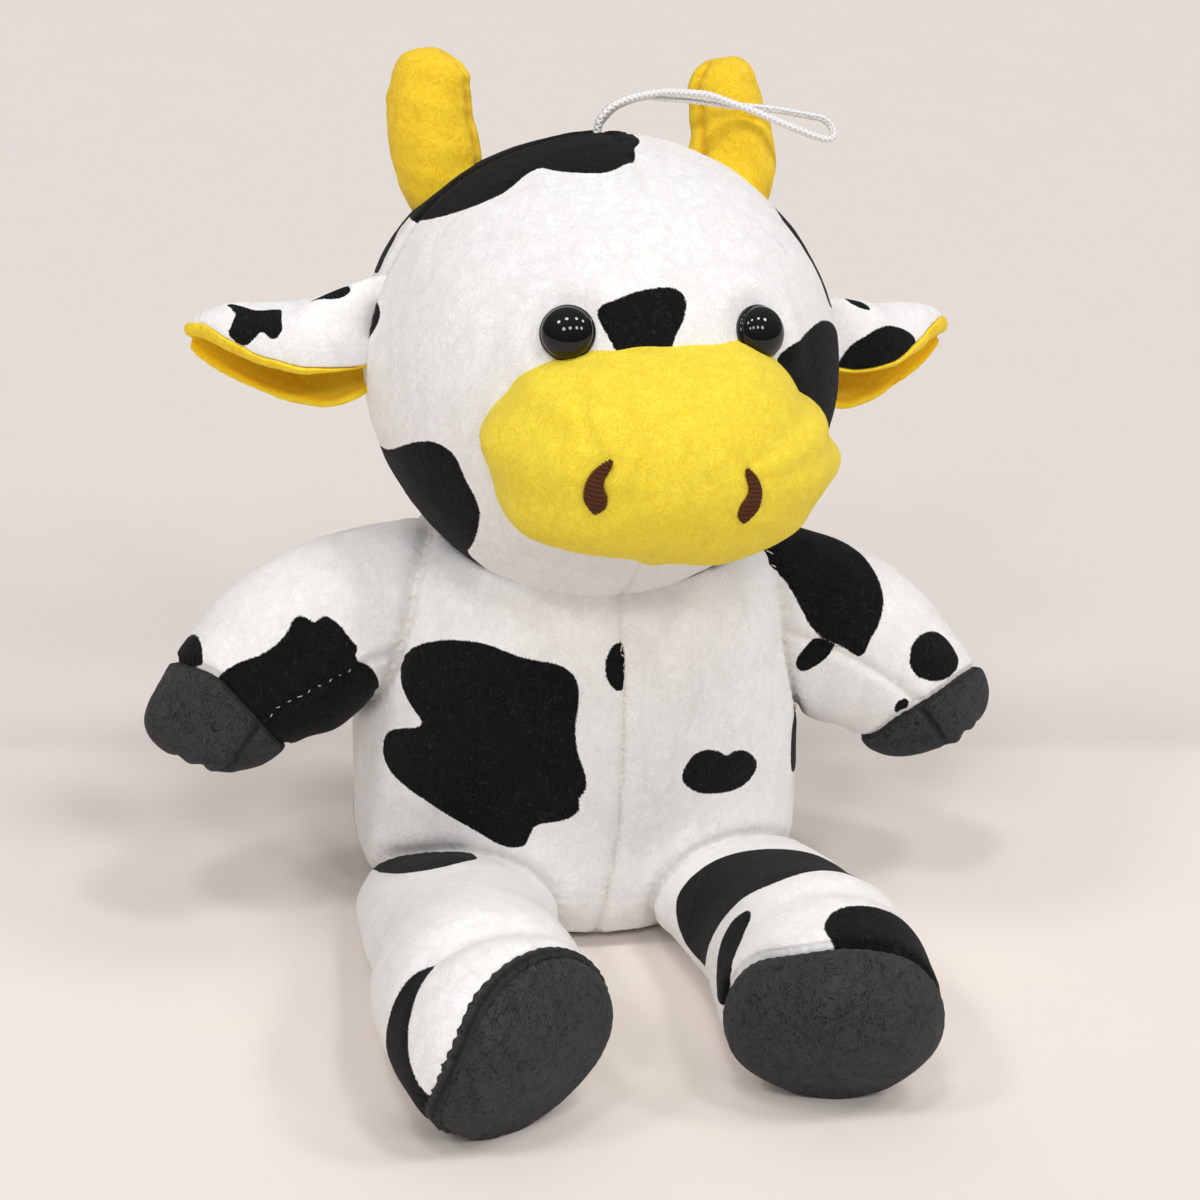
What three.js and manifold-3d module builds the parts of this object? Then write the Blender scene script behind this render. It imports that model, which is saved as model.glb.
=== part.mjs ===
// Sitting plush cow: sewn minky covers over fibre filling, with a round head, a muzzle, safety eyes,
// folded ears, stuffed horns, four limbs, a tail and a cord loop to hang it by.
// Millimetres and degrees. The cow sits on z = 0 and faces -Y, and its left side is +X.
import * as THREE from "three";
import { mergeVertices } from "three/addons/utils/BufferGeometryUtils.js";
import Module from "manifold-3d";

const wasm = await Module();
wasm.setup();

// Cloth, thread and clearances
const CLOTH = 2; // minky with its pile
const EAR_CLOTH = 1.5;
const GAP = 0.3; // between pieces that touch
const SEAT_GAP = 0.6; // between the turning head and the body's facets
const REST_CUT = 0.5; // how deep the filling flattens on the table
const OVERRUN = 30; // how far a cutter reaches past what it cuts
const WIDEST = 450; // a block larger than the cow, to cut with
const SAME_POINT = 0.0002;

// Body: a stuffed sack, flat where it sits, closing under the head
const BODY_WIDTH = 111;
const BODY_DEPTH = 87;
const BODY_HEIGHT = 100;
const BODY_SIDES = 20;
const BODY_FILL_SIDES = 10;
// height, width and depth at each ring
const BODY_SHARES = [
  [0.04, 0.93, 0.93],
  [0.13, 0.985, 0.985],
  [0.27, 1, 1],
  [0.48, 0.975, 0.985],
  [0.66, 0.925, 0.935],
  [0.79, 0.865, 0.88],
  [0.89, 0.77, 0.795],
  [0.96, 0.6, 0.63],
];
const BASE_SHARES = [0.82, 0.8];

// Head: a slightly flattened ball, so it can turn in the round seat on the body
const HEAD_WIDTH = 111;
const HEAD_HEIGHT = 106;
const HEAD_SINK = 17.5; // how deep it sits in the body's top
const HEAD_LEVEL = BODY_HEIGHT + HEAD_HEIGHT / 2 - HEAD_SINK; // its centre above the table
const HEAD_TURN = 2.5; // to the cow's left
const HEAD_TILT = 2; // its left ear down
const HEAD_SIDES = 22;
const HEAD_RINGS = 11;
const HEAD_FILL_SIDES = 12;
const HEAD_FILL_RINGS = 8;
const NECK_OPENING = 50; // across the hole that the head was filled through

// Muzzle: half a pillow sewn to the face, a little askew
const MUZZLE_WIDTH = 83;
const MUZZLE_HEIGHT = 52;
const MUZZLE_DEPTH = 56;
const MUZZLE_FORWARD = 45; // its centre in front of the head's
const MUZZLE_DROP = 3.4; // and below it
const MUZZLE_OFFSET = 1.9; // to the cow's left
const MUZZLE_ROLL = 3;
const MUZZLE_SIDES = 16;
const MUZZLE_RINGS = 10;
const MUZZLE_FILL_SIDES = 12;
const MUZZLE_FILL_RINGS = 6;

// Nostrils: satin-stitched crescents, thick with thread
const NOSTRIL_WIDTH = 6.8;
const NOSTRIL_HEIGHT = 12.8;
const NOSTRIL_SPREAD = 34.6; // between the two
const NOSTRIL_DROP = 1; // below the middle of the muzzle
const NOSTRIL_OFFSET = 3.6; // of the pair to the cow's right
const NOSTRIL_RISE = 0.6; // of the thread above the cloth
const NOSTRIL_SINK = 0.8; // and into it
const NOSTRIL_YAW = 16;
const NOSTRIL_STEPS = 3;
// its outline in shares of its width and height: the top point, then each curve's handle and end
const NOSTRIL_SHARES = [
  [-0.04, 0.5],
  [0.55, 0.25, 0.5, -0.08],
  [0.4, -0.5, -0.1, -0.5],
  [-0.45, -0.48, -0.5, -0.3],
  [0, -0.15, -0.04, 0.5],
];

// Safety eyes: a domed button on a shank, locked by a washer behind the cloth
const EYE_DIAMETER = 12;
const EYE_DOME = 4.6;
const EYE_RIM = 1.2;
const EYE_SPREAD = 44;
const EYE_RISE = 23.2; // above the head's centre
const EYE_SIDES = 16;
const EYE_DOME_STEPS = 4;
const SHANK_DIAMETER = 4;
const SHANK_LENGTH = 11;
const SHANK_SIDES = 12;
const WASHER_DIAMETER = 14;
const WASHER_THICKNESS = 2;

// Ears: two leaves of cloth sewn together and folded into a scoop
const EAR_LENGTH = 47;
const EAR_HEIGHT = 28;
const EAR_DEPTH = 25;
const EAR_RISE = 6.5; // of its root above the head's centre
const EAR_FORWARD = 3; // of its root from the head's middle
const EAR_YAW = 33; // how far it points back
const EAR_TILT = -14;
const EAR_ROLL = 8;
const EAR_RIM = 1.6; // of lining that shows past the outer cloth
const EAR_TURNS = 6;
const EAR_FOLD_FIRST_ANGLE = 8; // where the fold begins in front, going round its top and back
const EAR_FOLD_LAST_ANGLE = 285; // and where it ends below
// along the ear, and its size there
const EAR_SHARES = [
  [-0.14, 0.9],
  [0.3, 1],
  [0.55, 0.9],
  [0.77, 0.69],
  [0.92, 0.44],
  [1, 0.24],
];

// Horns: stuffed fingers that bow outwards
const HORN = {
  rootShares: { x: 0.3, y: 0.17, z: 0.29 },
  radius: 10.6,
  tip: 8,
  sides: 10,
  fillSides: 8,
  girthShares: [
    [0, 0.9],
    [0.45, 1],
    [0.86, 0.98],
  ],
};

const LEFT_HORN = {
  rootLength: 20,
  rootYaw: 64,
  rootTilt: 58,
  endLength: 19,
  endYaw: 160,
  endTilt: 66,
};
const RIGHT_HORN = {
  rootLength: 21,
  rootYaw: 46,
  rootTilt: 54,
  endLength: 19,
  endYaw: 140,
  endTilt: 72,
};

// Arms: tubes that droop, each ending in a hoof
const ARM = {
  rootShares: { x: 0.25, y: 0.07, z: 0.765 },
  radius: 17.2,
  tip: 11,
  seam: 16, // from the hoof's seam to its end
  sides: 12,
  fillSides: 8,
  girthShares: [
    [0, 0.98],
    [0.5, 0.99],
    [0.72, 0.94],
    [0.88, 0.87],
  ],
};
const LEFT_ARM = {
  rootLength: 50,
  rootYaw: -14,
  rootTilt: -5,
  endLength: 38,
  endYaw: -20,
  endTilt: -65,
};
const RIGHT_ARM = {
  rootLength: 58,
  rootYaw: -14,
  rootTilt: 5,
  endLength: 42,
  endYaw: -14,
  endTilt: -72,
};

// Legs: thicker tubes that stick out in front, each with a round sole
const LEG = {
  rootShares: { x: 0.28, y: -0.1, z: 0.05 },
  hipShare: -0.28, // of the body's depth, behind which the leg is all seam
  radius: 24.4, // of the foot
  tip: 12,
  seam: 11, // from the sole's seam to its middle
  sides: 14,
  fillSides: 8,
  girthShares: [
    [0, 0.7, 0.42],
    [0.2, 0.95, 0.5],
    [0.42, 0.94, 0.68],
    [0.62, 0.88, 0.8],
    [0.8, 0.98, 0.97],
    [0.93, 1, 1],
  ],
};
const LEFT_LEG = {
  rootLength: 95,
  rootYaw: -85,
  rootTilt: 15,
  endLength: 27,
  endYaw: -105,
  endTilt: -32,
};
const RIGHT_LEG = {
  rootLength: 96,
  rootYaw: -78,
  rootTilt: 14.5,
  endLength: 31,
  endYaw: -121,
  endTilt: -19,
};

// Tail: a thin tube that lies on the table behind the cow, with a tuft at its end
const TAIL = {
  rootLength: 20,
  rootYaw: 90,
  rootTilt: -22,
  endLength: 38,
  endYaw: 66,
  endTilt: -11,
  radius: 4.4,
  tip: 4,
  sides: 8,
  girthShares: [
    [0.06, 1],
    [0.5, 0.95],
    [0.92, 0.92],
  ],
};
const TAIL_ROOT_LEVEL = 21;
const TUFT = {
  length: 29,
  socket: 6, // how far the tail's end goes into it
  radius: 8,
  tip: 7,
  sides: 8,
  girthShares: [
    [0.04, 0.8],
    [0.5, 0.98],
    [0.8, 1],
  ],
};

// How a stuffed end rounds off: the way along its tip and the girth there
const DOME_SHARES = [
  [0, 1],
  [0.5, 0.88],
  [0.86, 0.5],
];

// Hang loop: a braided cord, both ends sewn into the top of the head
const CORD_DIAMETER = 1.7;
const CORD_SIDES = 8;
const CORD_STEPS = 44;
const CORD_ROUTE = [
  [-1.8, 10.6, 187.5],
  [-1.7, 10.7, 188.6],
  [-1, 10.9, 191.2],
  [1.6, 11.4, 193.8],
  [5.2, 12.4, 195.2],
  [10.2, 13.8, 196],
  [15.8, 15.2, 196.2],
  [21.5, 15.9, 195.7],
  [26, 16, 195.1],
  [30.7, 15.8, 193.5],
  [36.6, 14.7, 191.6],
  [43.2, 13.3, 189.1],
  [47, 12.7, 187.7],
  [51, 12.5, 186.2],
  [54.3, 13, 185.2],
  [56.3, 14.3, 185.2],
  [56.9, 15.8, 186],
  [56.4, 17.3, 187.3],
  [54.6, 18.1, 188.6],
  [51.6, 18.2, 189.3],
  [48.3, 18.1, 189.9],
  [44.4, 18.2, 190.6],
  [37.5, 18.1, 191.5],
  [31.4, 18, 192],
  [26.7, 18, 192.8],
  [22.1, 17.8, 193.4],
  [16.3, 17.1, 194.1],
  [10.8, 16.1, 194.8],
  [5.9, 14.9, 194],
  [2.4, 13.8, 192.5],
  [-0.3, 13, 189.9],
  [-1, 12.8, 188.2],
  [-1.1, 12.8, 187.1],
];

// Colours from the photograph
const COLOURS = {
  white: 0xf2efec,
  black: 0x17171a,
  yellow: 0xf7dc3c,
  grey: 0x434645,
  brown: 0x4a2410,
  eye: 0x0a0a0c,
  washer: 0xe6e4df,
  filling: 0xf6f4f0,
  cord: 0xf4f3f1,
};

const radians = THREE.MathUtils.degToRad;
const UP = new THREE.Vector3(0, 0, 1);
const FRONT = new THREE.Vector3(0, -1, 0);
const LATHE_AXIS = new THREE.Vector3(0, 1, 0);

// Solid of a closed geometry: its shared corners are merged and collapsed faces dropped.
function solid(geometry) {
  const bare = new THREE.BufferGeometry().setAttribute("position", geometry.getAttribute("position"));
  if (geometry.index) bare.setIndex(geometry.index);
  const merged = mergeVertices(bare, SAME_POINT);
  const faces = [];
  for (let i = 0; i < merged.index.count; i += 3) {
    const [a, b, c] = [0, 1, 2].map((k) => merged.index.getX(i + k));
    if (a !== b && b !== c && c !== a) faces.push(a, b, c);
  }
  const vertProperties = merged.attributes.position.array;
  return new wasm.Manifold(new wasm.Mesh({ numProp: 3, vertProperties, triVerts: Uint32Array.from(faces) }));
}

// Geometry of a solid.
function geometryOf(shape) {
  const { numProp, numVert, vertProperties, triVerts } = shape.getMesh();
  const points = new Float32Array(numVert * 3);
  for (let i = 0; i < numVert; i++) points.set(vertProperties.subarray(i * numProp, i * numProp + 3), i * 3);
  const geometry = new THREE.BufferGeometry();
  geometry.setAttribute("position", new THREE.BufferAttribute(points, 3));
  geometry.setIndex(new THREE.BufferAttribute(Uint32Array.from(triVerts), 1));
  geometry.computeVertexNormals();
  return geometry;
}

// Named mesh of one piece, a solid or a geometry.
function piece(name, shape, colour, roughness = 0.95) {
  const material = new THREE.MeshStandardMaterial({ color: colour, roughness, metalness: 0 });
  const mesh = new THREE.Mesh(shape.isBufferGeometry ? shape : geometryOf(shape), material);
  mesh.name = name;
  return mesh;
}

// Closed surface through rings of points that run counterclockwise round the way from the first to the last.
function skin(first, rings, last) {
  const sides = rings[0].length;
  const points = [first, ...rings.flat(), last];
  const end = points.length - 1;
  const at = (ring, side) => 1 + ring * sides + (side % sides);
  const faces = [];
  for (let s = 0; s < sides; s++) {
    faces.push(0, at(0, s + 1), at(0, s));
    faces.push(end, at(rings.length - 1, s), at(rings.length - 1, s + 1));
    for (let r = 0; r + 1 < rings.length; r++) {
      faces.push(at(r, s), at(r, s + 1), at(r + 1, s + 1));
      faces.push(at(r, s), at(r + 1, s + 1), at(r + 1, s));
    }
  }
  return new THREE.BufferGeometry().setFromPoints(points).setIndex(faces);
}

// Solid along closed sections of any outline, its two ends closed by strips between opposite points.
function ribbonSolid(rings) {
  const sides = rings[0].length;
  const at = (ring, side) => ring * sides + ((side + sides) % sides);
  const last = rings.length - 1;
  const faces = [];
  for (let s = 0; s < sides; s++) {
    for (let r = 0; r < last; r++) {
      faces.push(at(r, s), at(r, s + 1), at(r + 1, s + 1));
      faces.push(at(r, s), at(r + 1, s + 1), at(r + 1, s));
    }
  }
  for (let s = 0; s + 1 < sides / 2; s++) {
    const [a, b, c, d] = [s, s + 1, sides - 2 - s, sides - 1 - s];
    faces.push(at(0, a), at(0, c), at(0, b), at(0, a), at(0, d), at(0, c));
    faces.push(at(last, a), at(last, b), at(last, c), at(last, a), at(last, c), at(last, d));
  }
  return solid(new THREE.BufferGeometry().setFromPoints(rings.flat()).setIndex(faces));
}

// Copy of a geometry on the other side of the middle plane.
function mirrored(geometry) {
  const copy = (geometry.index ? geometry.toNonIndexed() : geometry.clone()).scale(-1, 1, 1);
  const points = copy.attributes.position;
  for (let i = 0; i < points.count; i += 3) {
    const [b, c] = [1, 2].map((k) => new THREE.Vector3().fromBufferAttribute(points, i + k));
    points.setXYZ(i + 1, c.x, c.y, c.z);
    points.setXYZ(i + 2, b.x, b.y, b.z);
  }
  return copy;
}

// Box whose bottom face lies on a plane, as a cutter for what is past it.
function beyond(point, normal, size) {
  const turn = new THREE.Quaternion().setFromUnitVectors(UP, normal.clone().normalize());
  const box = new THREE.BoxGeometry(size, size, size).translate(0, 0, size / 2);
  return solid(box.applyQuaternion(turn).translate(point.x, point.y, point.z));
}

// Body and head outlines, grown outwards by an amount
function bodyForm(grow, sides) {
  const ring = (z, width, depth) =>
    Array.from({ length: sides }, (_, s) => {
      const turn = (s / sides) * 2 * Math.PI;
      return new THREE.Vector3((width / 2 + grow) * Math.cos(turn), (depth / 2 + grow) * Math.sin(turn), z);
    });
  const rings = [
    ring(-REST_CUT - grow, BODY_WIDTH * BASE_SHARES[0], BODY_DEPTH * BASE_SHARES[1]),
    ...BODY_SHARES.map(([z, x, y]) => ring(z * BODY_HEIGHT, x * BODY_WIDTH, y * BODY_DEPTH)),
  ];
  const bottom = new THREE.Vector3(0, 0, -REST_CUT - grow);
  return solid(skin(bottom, rings, new THREE.Vector3(0, 0, BODY_HEIGHT + grow)));
}

function headForm(grow, sides, rings) {
  const ball = new THREE.SphereGeometry(1, sides, rings).rotateX(Math.PI / 2);
  return ball.scale(HEAD_WIDTH / 2 + grow, HEAD_WIDTH / 2 + grow, HEAD_HEIGHT / 2 + grow);
}

// Unit vector at a yaw from +X and a tilt above the level.
function heading(yaw, tilt) {
  const level = Math.cos(radians(tilt));
  return new THREE.Vector3(
    level * Math.cos(radians(yaw)),
    level * Math.sin(radians(yaw)),
    Math.sin(radians(tilt)),
  );
}

// Middle line of a limb: it leaves its root along one heading and ends along another.
function spineOf(root, bends) {
  const bend = root.clone().addScaledVector(heading(bends.rootYaw, bends.rootTilt), bends.rootLength);
  const end = bend.clone().addScaledVector(heading(bends.endYaw, bends.endTilt), bends.endLength);
  return new THREE.QuadraticBezierCurve3(root, bend, end);
}

// Stuffed tube round a spine, shrunk inwards by an inset, with a domed end.
function tube(spine, limb, inset, sides, reference) {
  const length = spine.getLength();
  const domeStart = length - limb.tip;
  const stations = limb.girthShares.map(([reach, across, over = across]) => {
    return [reach * domeStart, across * limb.radius - inset, over * limb.radius - inset];
  });
  const endRadius = stations.at(-1)[1];
  for (const [reach, girth] of DOME_SHARES) {
    stations.push([domeStart + reach * (limb.tip - inset), girth * endRadius, girth * endRadius]);
  }
  const rings = stations.map(([distance, across, tall]) => {
    const along = spine.getTangentAt(distance / length);
    const centre = spine.getPointAt(distance / length);
    const side = reference.clone().cross(along).normalize();
    const over = along.clone().cross(side);
    return Array.from({ length: sides }, (_, s) => {
      const turn = (s / sides) * 2 * Math.PI;
      const point = centre.clone().addScaledVector(side, across * Math.cos(turn));
      return point.addScaledVector(over, tall * Math.sin(turn));
    });
  });
  const end = spine.getPointAt(1).addScaledVector(spine.getTangentAt(1), -inset);
  return solid(skin(spine.getPointAt(stations[0][0] / length), rings, end));
}

// Half of space under a level.
const under = (level) => beyond(new THREE.Vector3(0, 0, level), UP.clone().negate(), WIDEST);

// Cover and filling of a stuffed limb that is sewn to a larger form, which cuts its root.
// Both stay above the table.
function stuffed(spine, limb, carrier, reference) {
  const form = (inset, sides) => tube(spine, limb, inset, sides, reference).subtract(under(inset));
  return {
    cover: form(0, limb.sides).subtract(form(CLOTH, limb.fillSides)).subtract(carrier),
    filling: form(CLOTH + GAP, limb.fillSides).subtract(carrier),
  };
}

// The two parts of a cover on either side of a seam square to the spine.
function parted(cover, spine, limb) {
  const u = 1 - limb.seam / spine.getLength();
  const normal = spine.getTangentAt(u);
  const point = spine.getPointAt(u);
  const half = (shift) => beyond(point.clone().addScaledVector(normal, shift), normal, WIDEST);
  return { sleeve: cover.subtract(half(-GAP / 2)), cap: cover.intersect(half(GAP / 2)) };
}

// Point on the front of the head, and a placement there whose Y points out of the head.
function onFace(x, z) {
  const [across, tall] = [HEAD_WIDTH / 2, HEAD_HEIGHT / 2];
  const y = -across * Math.sqrt(1 - (x / across) ** 2 - (z / tall) ** 2);
  const normal = new THREE.Vector3(x / across ** 2, y / across ** 2, z / tall ** 2).normalize();
  const turn = new THREE.Quaternion().setFromUnitVectors(LATHE_AXIS, normal);
  return { point: new THREE.Vector3(x, y, z), normal, turn };
}

// The cow, and the head that turns on it
const cow = new THREE.Group();
const head = new THREE.Group();
head.position.z = HEAD_LEVEL;
head.rotation.set(0, radians(HEAD_TILT), radians(HEAD_TURN));
const headMirror = new THREE.Group();
headMirror.scale.x = -1;
head.add(headMirror);
cow.add(head);

// Head's outline where it sits, grown by an amount, to cut what it rests on or what is near it.
const seatedHead = (grow) => {
  const tilted = headForm(grow, HEAD_SIDES, HEAD_RINGS).rotateY(radians(HEAD_TILT));
  return solid(tilted.translate(0, 0, HEAD_LEVEL));
};

// Body cover and its filling, with the seat that the head turns in
{
  const seat = seatedHead(SEAT_GAP);
  const form = (inset, sides) => bodyForm(-inset, sides).subtract(under(inset));
  const cover = form(0, BODY_SIDES).subtract(form(CLOTH, BODY_FILL_SIDES)).subtract(seat);
  cow.add(piece("body_cover", cover, COLOURS.white));
  cow.add(piece("body_stuffing", form(CLOTH + GAP, BODY_FILL_SIDES).subtract(seat), COLOURS.filling));
}

// Arms, each a sleeve, a hoof and their filling
const bodyWithGap = bodyForm(GAP, BODY_SIDES);
const rootIn = (shares, side) =>
  new THREE.Vector3(side * shares.x * BODY_WIDTH, shares.y * BODY_DEPTH, shares.z * BODY_HEIGHT);
const trunk = bodyWithGap.add(seatedHead(2 * SEAT_GAP));
const sided = (bends, sign) => {
  const [rootYaw, endYaw] = [bends.rootYaw, bends.endYaw].map((yaw) => (sign > 0 ? yaw : 180 - yaw));
  return { ...bends, rootYaw, endYaw };
};
for (const [side, sign, bends] of [["left", 1, LEFT_ARM], ["right", -1, RIGHT_ARM]]) {
  const spine = spineOf(rootIn(ARM.rootShares, sign), sided(bends, sign));
  const { cover, filling } = stuffed(spine, ARM, trunk, FRONT);
  const { sleeve, cap } = parted(cover, spine, ARM);
  cow.add(piece(`arm_${side}_sleeve`, sleeve, COLOURS.white));
  cow.add(piece(`arm_${side}_hoof`, cap, COLOURS.grey));
  cow.add(piece(`arm_${side}_stuffing`, filling, COLOURS.filling));
}

// Legs, each a sleeve, a sole and their filling
const hip = beyond(new THREE.Vector3(0, LEG.hipShare * BODY_DEPTH, 0), FRONT.clone().negate(), WIDEST);
const pelvis = bodyWithGap.add(hip);
for (const [side, sign, bends] of [["left", 1, LEFT_LEG], ["right", -1, RIGHT_LEG]]) {
  const spine = spineOf(rootIn(LEG.rootShares, sign), sided(bends, sign));
  const { cover, filling } = stuffed(spine, LEG, pelvis, UP);
  const { sleeve, cap } = parted(cover, spine, LEG);
  cow.add(piece(`leg_${side}_sleeve`, sleeve, COLOURS.white));
  cow.add(piece(`leg_${side}_sole`, cap, COLOURS.grey));
  cow.add(piece(`leg_${side}_stuffing`, filling, COLOURS.filling));
}

// Tail, with a round root that swings against the body, and its tuft
{
  const radius = TAIL.radius;
  const share = TAIL_ROOT_LEVEL / BODY_HEIGHT;
  const above = BODY_SHARES.findIndex(([z]) => z > share);
  const [low, high] = [BODY_SHARES[above - 1], BODY_SHARES[above]];
  const depth = THREE.MathUtils.mapLinear(share, low[0], high[0], low[2], high[2]) * BODY_DEPTH;
  const root = new THREE.Vector3(0, depth / 2 + GAP + radius, TAIL_ROOT_LEVEL);
  const spine = spineOf(root, TAIL);
  const knob = new THREE.SphereGeometry(radius, TAIL.sides, TAIL.sides / 2);
  const cover = tube(spine, TAIL, 0, TAIL.sides, UP).add(solid(knob.translate(root.x, root.y, root.z)));
  const along = spine.getTangentAt(1);
  const mouth = spine.getPointAt(1).addScaledVector(along, -TUFT.socket);
  const tuftSpine = new THREE.LineCurve3(mouth, mouth.clone().addScaledVector(along, TUFT.length));
  const tuft = tube(tuftSpine, TUFT, 0, TUFT.sides, UP).subtract(tube(spine, TAIL, -GAP, TAIL.sides, UP));
  cow.add(piece("tail_cover", cover.subtract(under(0)), COLOURS.white));
  cow.add(piece("tail_tuft", tuft.subtract(under(0)), COLOURS.black));
}

// Eyes and their washers, placed on the face
const eyeAt = onFace(EYE_SPREAD / 2, EYE_RISE);
const headOutside = solid(headForm(0, HEAD_SIDES, HEAD_RINGS));
const headOver = solid(headForm(GAP, HEAD_SIDES, HEAD_RINGS));
const washerLevel = (() => {
  const radius = HEAD_HEIGHT / 2 - CLOTH;
  const curve = radius - Math.sqrt(radius ** 2 - (WASHER_DIAMETER / 2) ** 2);
  const flats = radius * (1 - Math.cos(Math.PI / HEAD_FILL_SIDES) * Math.cos(Math.PI / 2 / HEAD_FILL_RINGS));
  return -CLOTH - GAP - curve - flats - WASHER_THICKNESS;
})();
{
  const [shank, rim] = [SHANK_DIAMETER / 2, EYE_DIAMETER / 2];
  const profile = [[0, -SHANK_LENGTH], [shank, -SHANK_LENGTH], [shank, GAP], [rim, GAP]];
  for (let i = 0; i < EYE_DOME_STEPS; i++) {
    const turn = ((i / EYE_DOME_STEPS) * Math.PI) / 2;
    profile.push([rim * Math.cos(turn), GAP + EYE_RIM + (EYE_DOME - EYE_RIM) * Math.sin(turn)]);
  }
  profile.push([0, GAP + EYE_DOME]);
  const [hole, edge] = [shank + GAP, WASHER_DIAMETER / 2];
  const ring = [
    [hole, washerLevel],
    [edge, washerLevel],
    [edge, washerLevel + WASHER_THICKNESS],
    [hole, washerLevel + WASHER_THICKNESS],
    [hole, washerLevel],
  ];
  const revolve = (points, sides) => {
    return new THREE.LatheGeometry(points.map(([x, y]) => new THREE.Vector2(x, y)), sides);
  };
  for (const [side, group] of [["left", head], ["right", headMirror]]) {
    const eye = piece(`eye_${side}`, solid(revolve(profile, EYE_SIDES)), COLOURS.eye, 0.08);
    const washer = piece(`eye_washer_${side}`, solid(revolve(ring, SHANK_SIDES)), COLOURS.washer, 0.5);
    for (const mesh of [eye, washer]) {
      mesh.position.copy(eyeAt.point);
      mesh.quaternion.copy(eyeAt.turn);
      group.add(mesh);
    }
  }
}

// Round cutter square to the face at an eye, from a bottom level to a top one.
function drill(diameter, bottom, top, sign) {
  const bore = new THREE.CylinderGeometry(diameter / 2, diameter / 2, top - bottom, SHANK_SIDES);
  bore.translate(0, (top + bottom) / 2, 0);
  const { point, turn } = onFace((sign * EYE_SPREAD) / 2, EYE_RISE);
  return solid(bore.applyQuaternion(turn).translate(point.x, point.y, point.z));
}

// Head cover with a hole for each shank and the neck opening, and its filling with room for the washers
{
  const neck = (diameter) => {
    const length = HEAD_HEIGHT / 2 + OVERRUN;
    const bore = new THREE.CylinderGeometry(diameter / 2, diameter / 2, length, HEAD_FILL_SIDES);
    return solid(bore.rotateX(Math.PI / 2).translate(0, 0, -length / 2));
  };
  let cover = headOutside.subtract(solid(headForm(-CLOTH, HEAD_FILL_SIDES, HEAD_FILL_RINGS)));
  cover = cover.subtract(neck(NECK_OPENING));
  let filling = solid(headForm(-CLOTH - GAP, HEAD_FILL_SIDES, HEAD_FILL_RINGS));
  filling = filling.add(neck(NECK_OPENING - 2 * GAP).intersect(headOutside));
  for (const sign of [1, -1]) {
    cover = cover.subtract(drill(SHANK_DIAMETER + 2 * GAP, -OVERRUN, OVERRUN, sign));
    filling = filling.subtract(drill(WASHER_DIAMETER + 2 * GAP, -SHANK_LENGTH - GAP, OVERRUN, sign));
  }
  head.add(piece("head_cover", cover, COLOURS.white));
  head.add(piece("head_stuffing", filling, COLOURS.filling));
}

// Muzzle with the beds of its nostrils
{
  const place = (geometry) =>
    geometry.rotateY(radians(MUZZLE_ROLL)).translate(MUZZLE_OFFSET, -MUZZLE_FORWARD, -MUZZLE_DROP);
  const form = (grow, sides, rings) => {
    const ball = new THREE.SphereGeometry(1, sides, rings).rotateX(Math.PI / 2);
    ball.scale(MUZZLE_WIDTH / 2 + grow, MUZZLE_DEPTH / 2 + grow, MUZZLE_HEIGHT / 2 + grow);
    return solid(place(ball));
  };
  const crescent = (grow, sign) => {
    const [wide, tall] = [NOSTRIL_WIDTH + 2 * grow, NOSTRIL_HEIGHT + 2 * grow];
    const [top, ...curves] = NOSTRIL_SHARES.map((share) => share.map((v, i) => v * (i % 2 ? tall : wide)));
    const outline = new THREE.Shape().moveTo(...top);
    for (const curve of curves) outline.quadraticCurveTo(...curve);
    const depth = MUZZLE_DEPTH / 2 + OVERRUN;
    const settings = { depth, bevelEnabled: false, curveSegments: NOSTRIL_STEPS };
    const bar = new THREE.ExtrudeGeometry(outline, settings);
    const surface = (MUZZLE_DEPTH / 2) * Math.sqrt(1 - (NOSTRIL_SPREAD / MUZZLE_WIDTH) ** 2);
    bar.rotateX(Math.PI / 2).translate(0, MUZZLE_DEPTH / 2, 0).rotateZ(radians(NOSTRIL_YAW));
    bar.translate(NOSTRIL_SPREAD / 2, -surface, -NOSTRIL_DROP);
    return solid(place((sign > 0 ? bar : mirrored(bar)).translate(-NOSTRIL_OFFSET, 0, 0)));
  };
  const outside = form(0, MUZZLE_SIDES, MUZZLE_RINGS);
  const bed = form(-NOSTRIL_SINK - GAP, MUZZLE_SIDES, MUZZLE_RINGS);
  let cover = outside.subtract(form(-CLOTH, MUZZLE_FILL_SIDES, MUZZLE_FILL_RINGS)).subtract(headOver);
  for (const [side, sign] of [["left", 1], ["right", -1]]) {
    const thread = form(NOSTRIL_RISE, MUZZLE_SIDES, MUZZLE_RINGS)
      .subtract(form(-NOSTRIL_SINK, MUZZLE_SIDES, MUZZLE_RINGS))
      .intersect(crescent(0, sign));
    cover = cover.subtract(crescent(GAP, sign).subtract(bed));
    cover = cover.subtract(drill(EYE_DIAMETER + 4 * GAP, -OVERRUN, OVERRUN, sign));
    head.add(piece(`nostril_${side}`, thread, COLOURS.brown));
  }
  head.add(piece("muzzle_cover", cover, COLOURS.yellow));
  const filling = form(-CLOTH - GAP, MUZZLE_FILL_SIDES, MUZZLE_FILL_RINGS).subtract(headOver);
  head.add(piece("muzzle_stuffing", filling, COLOURS.filling));
}

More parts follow.
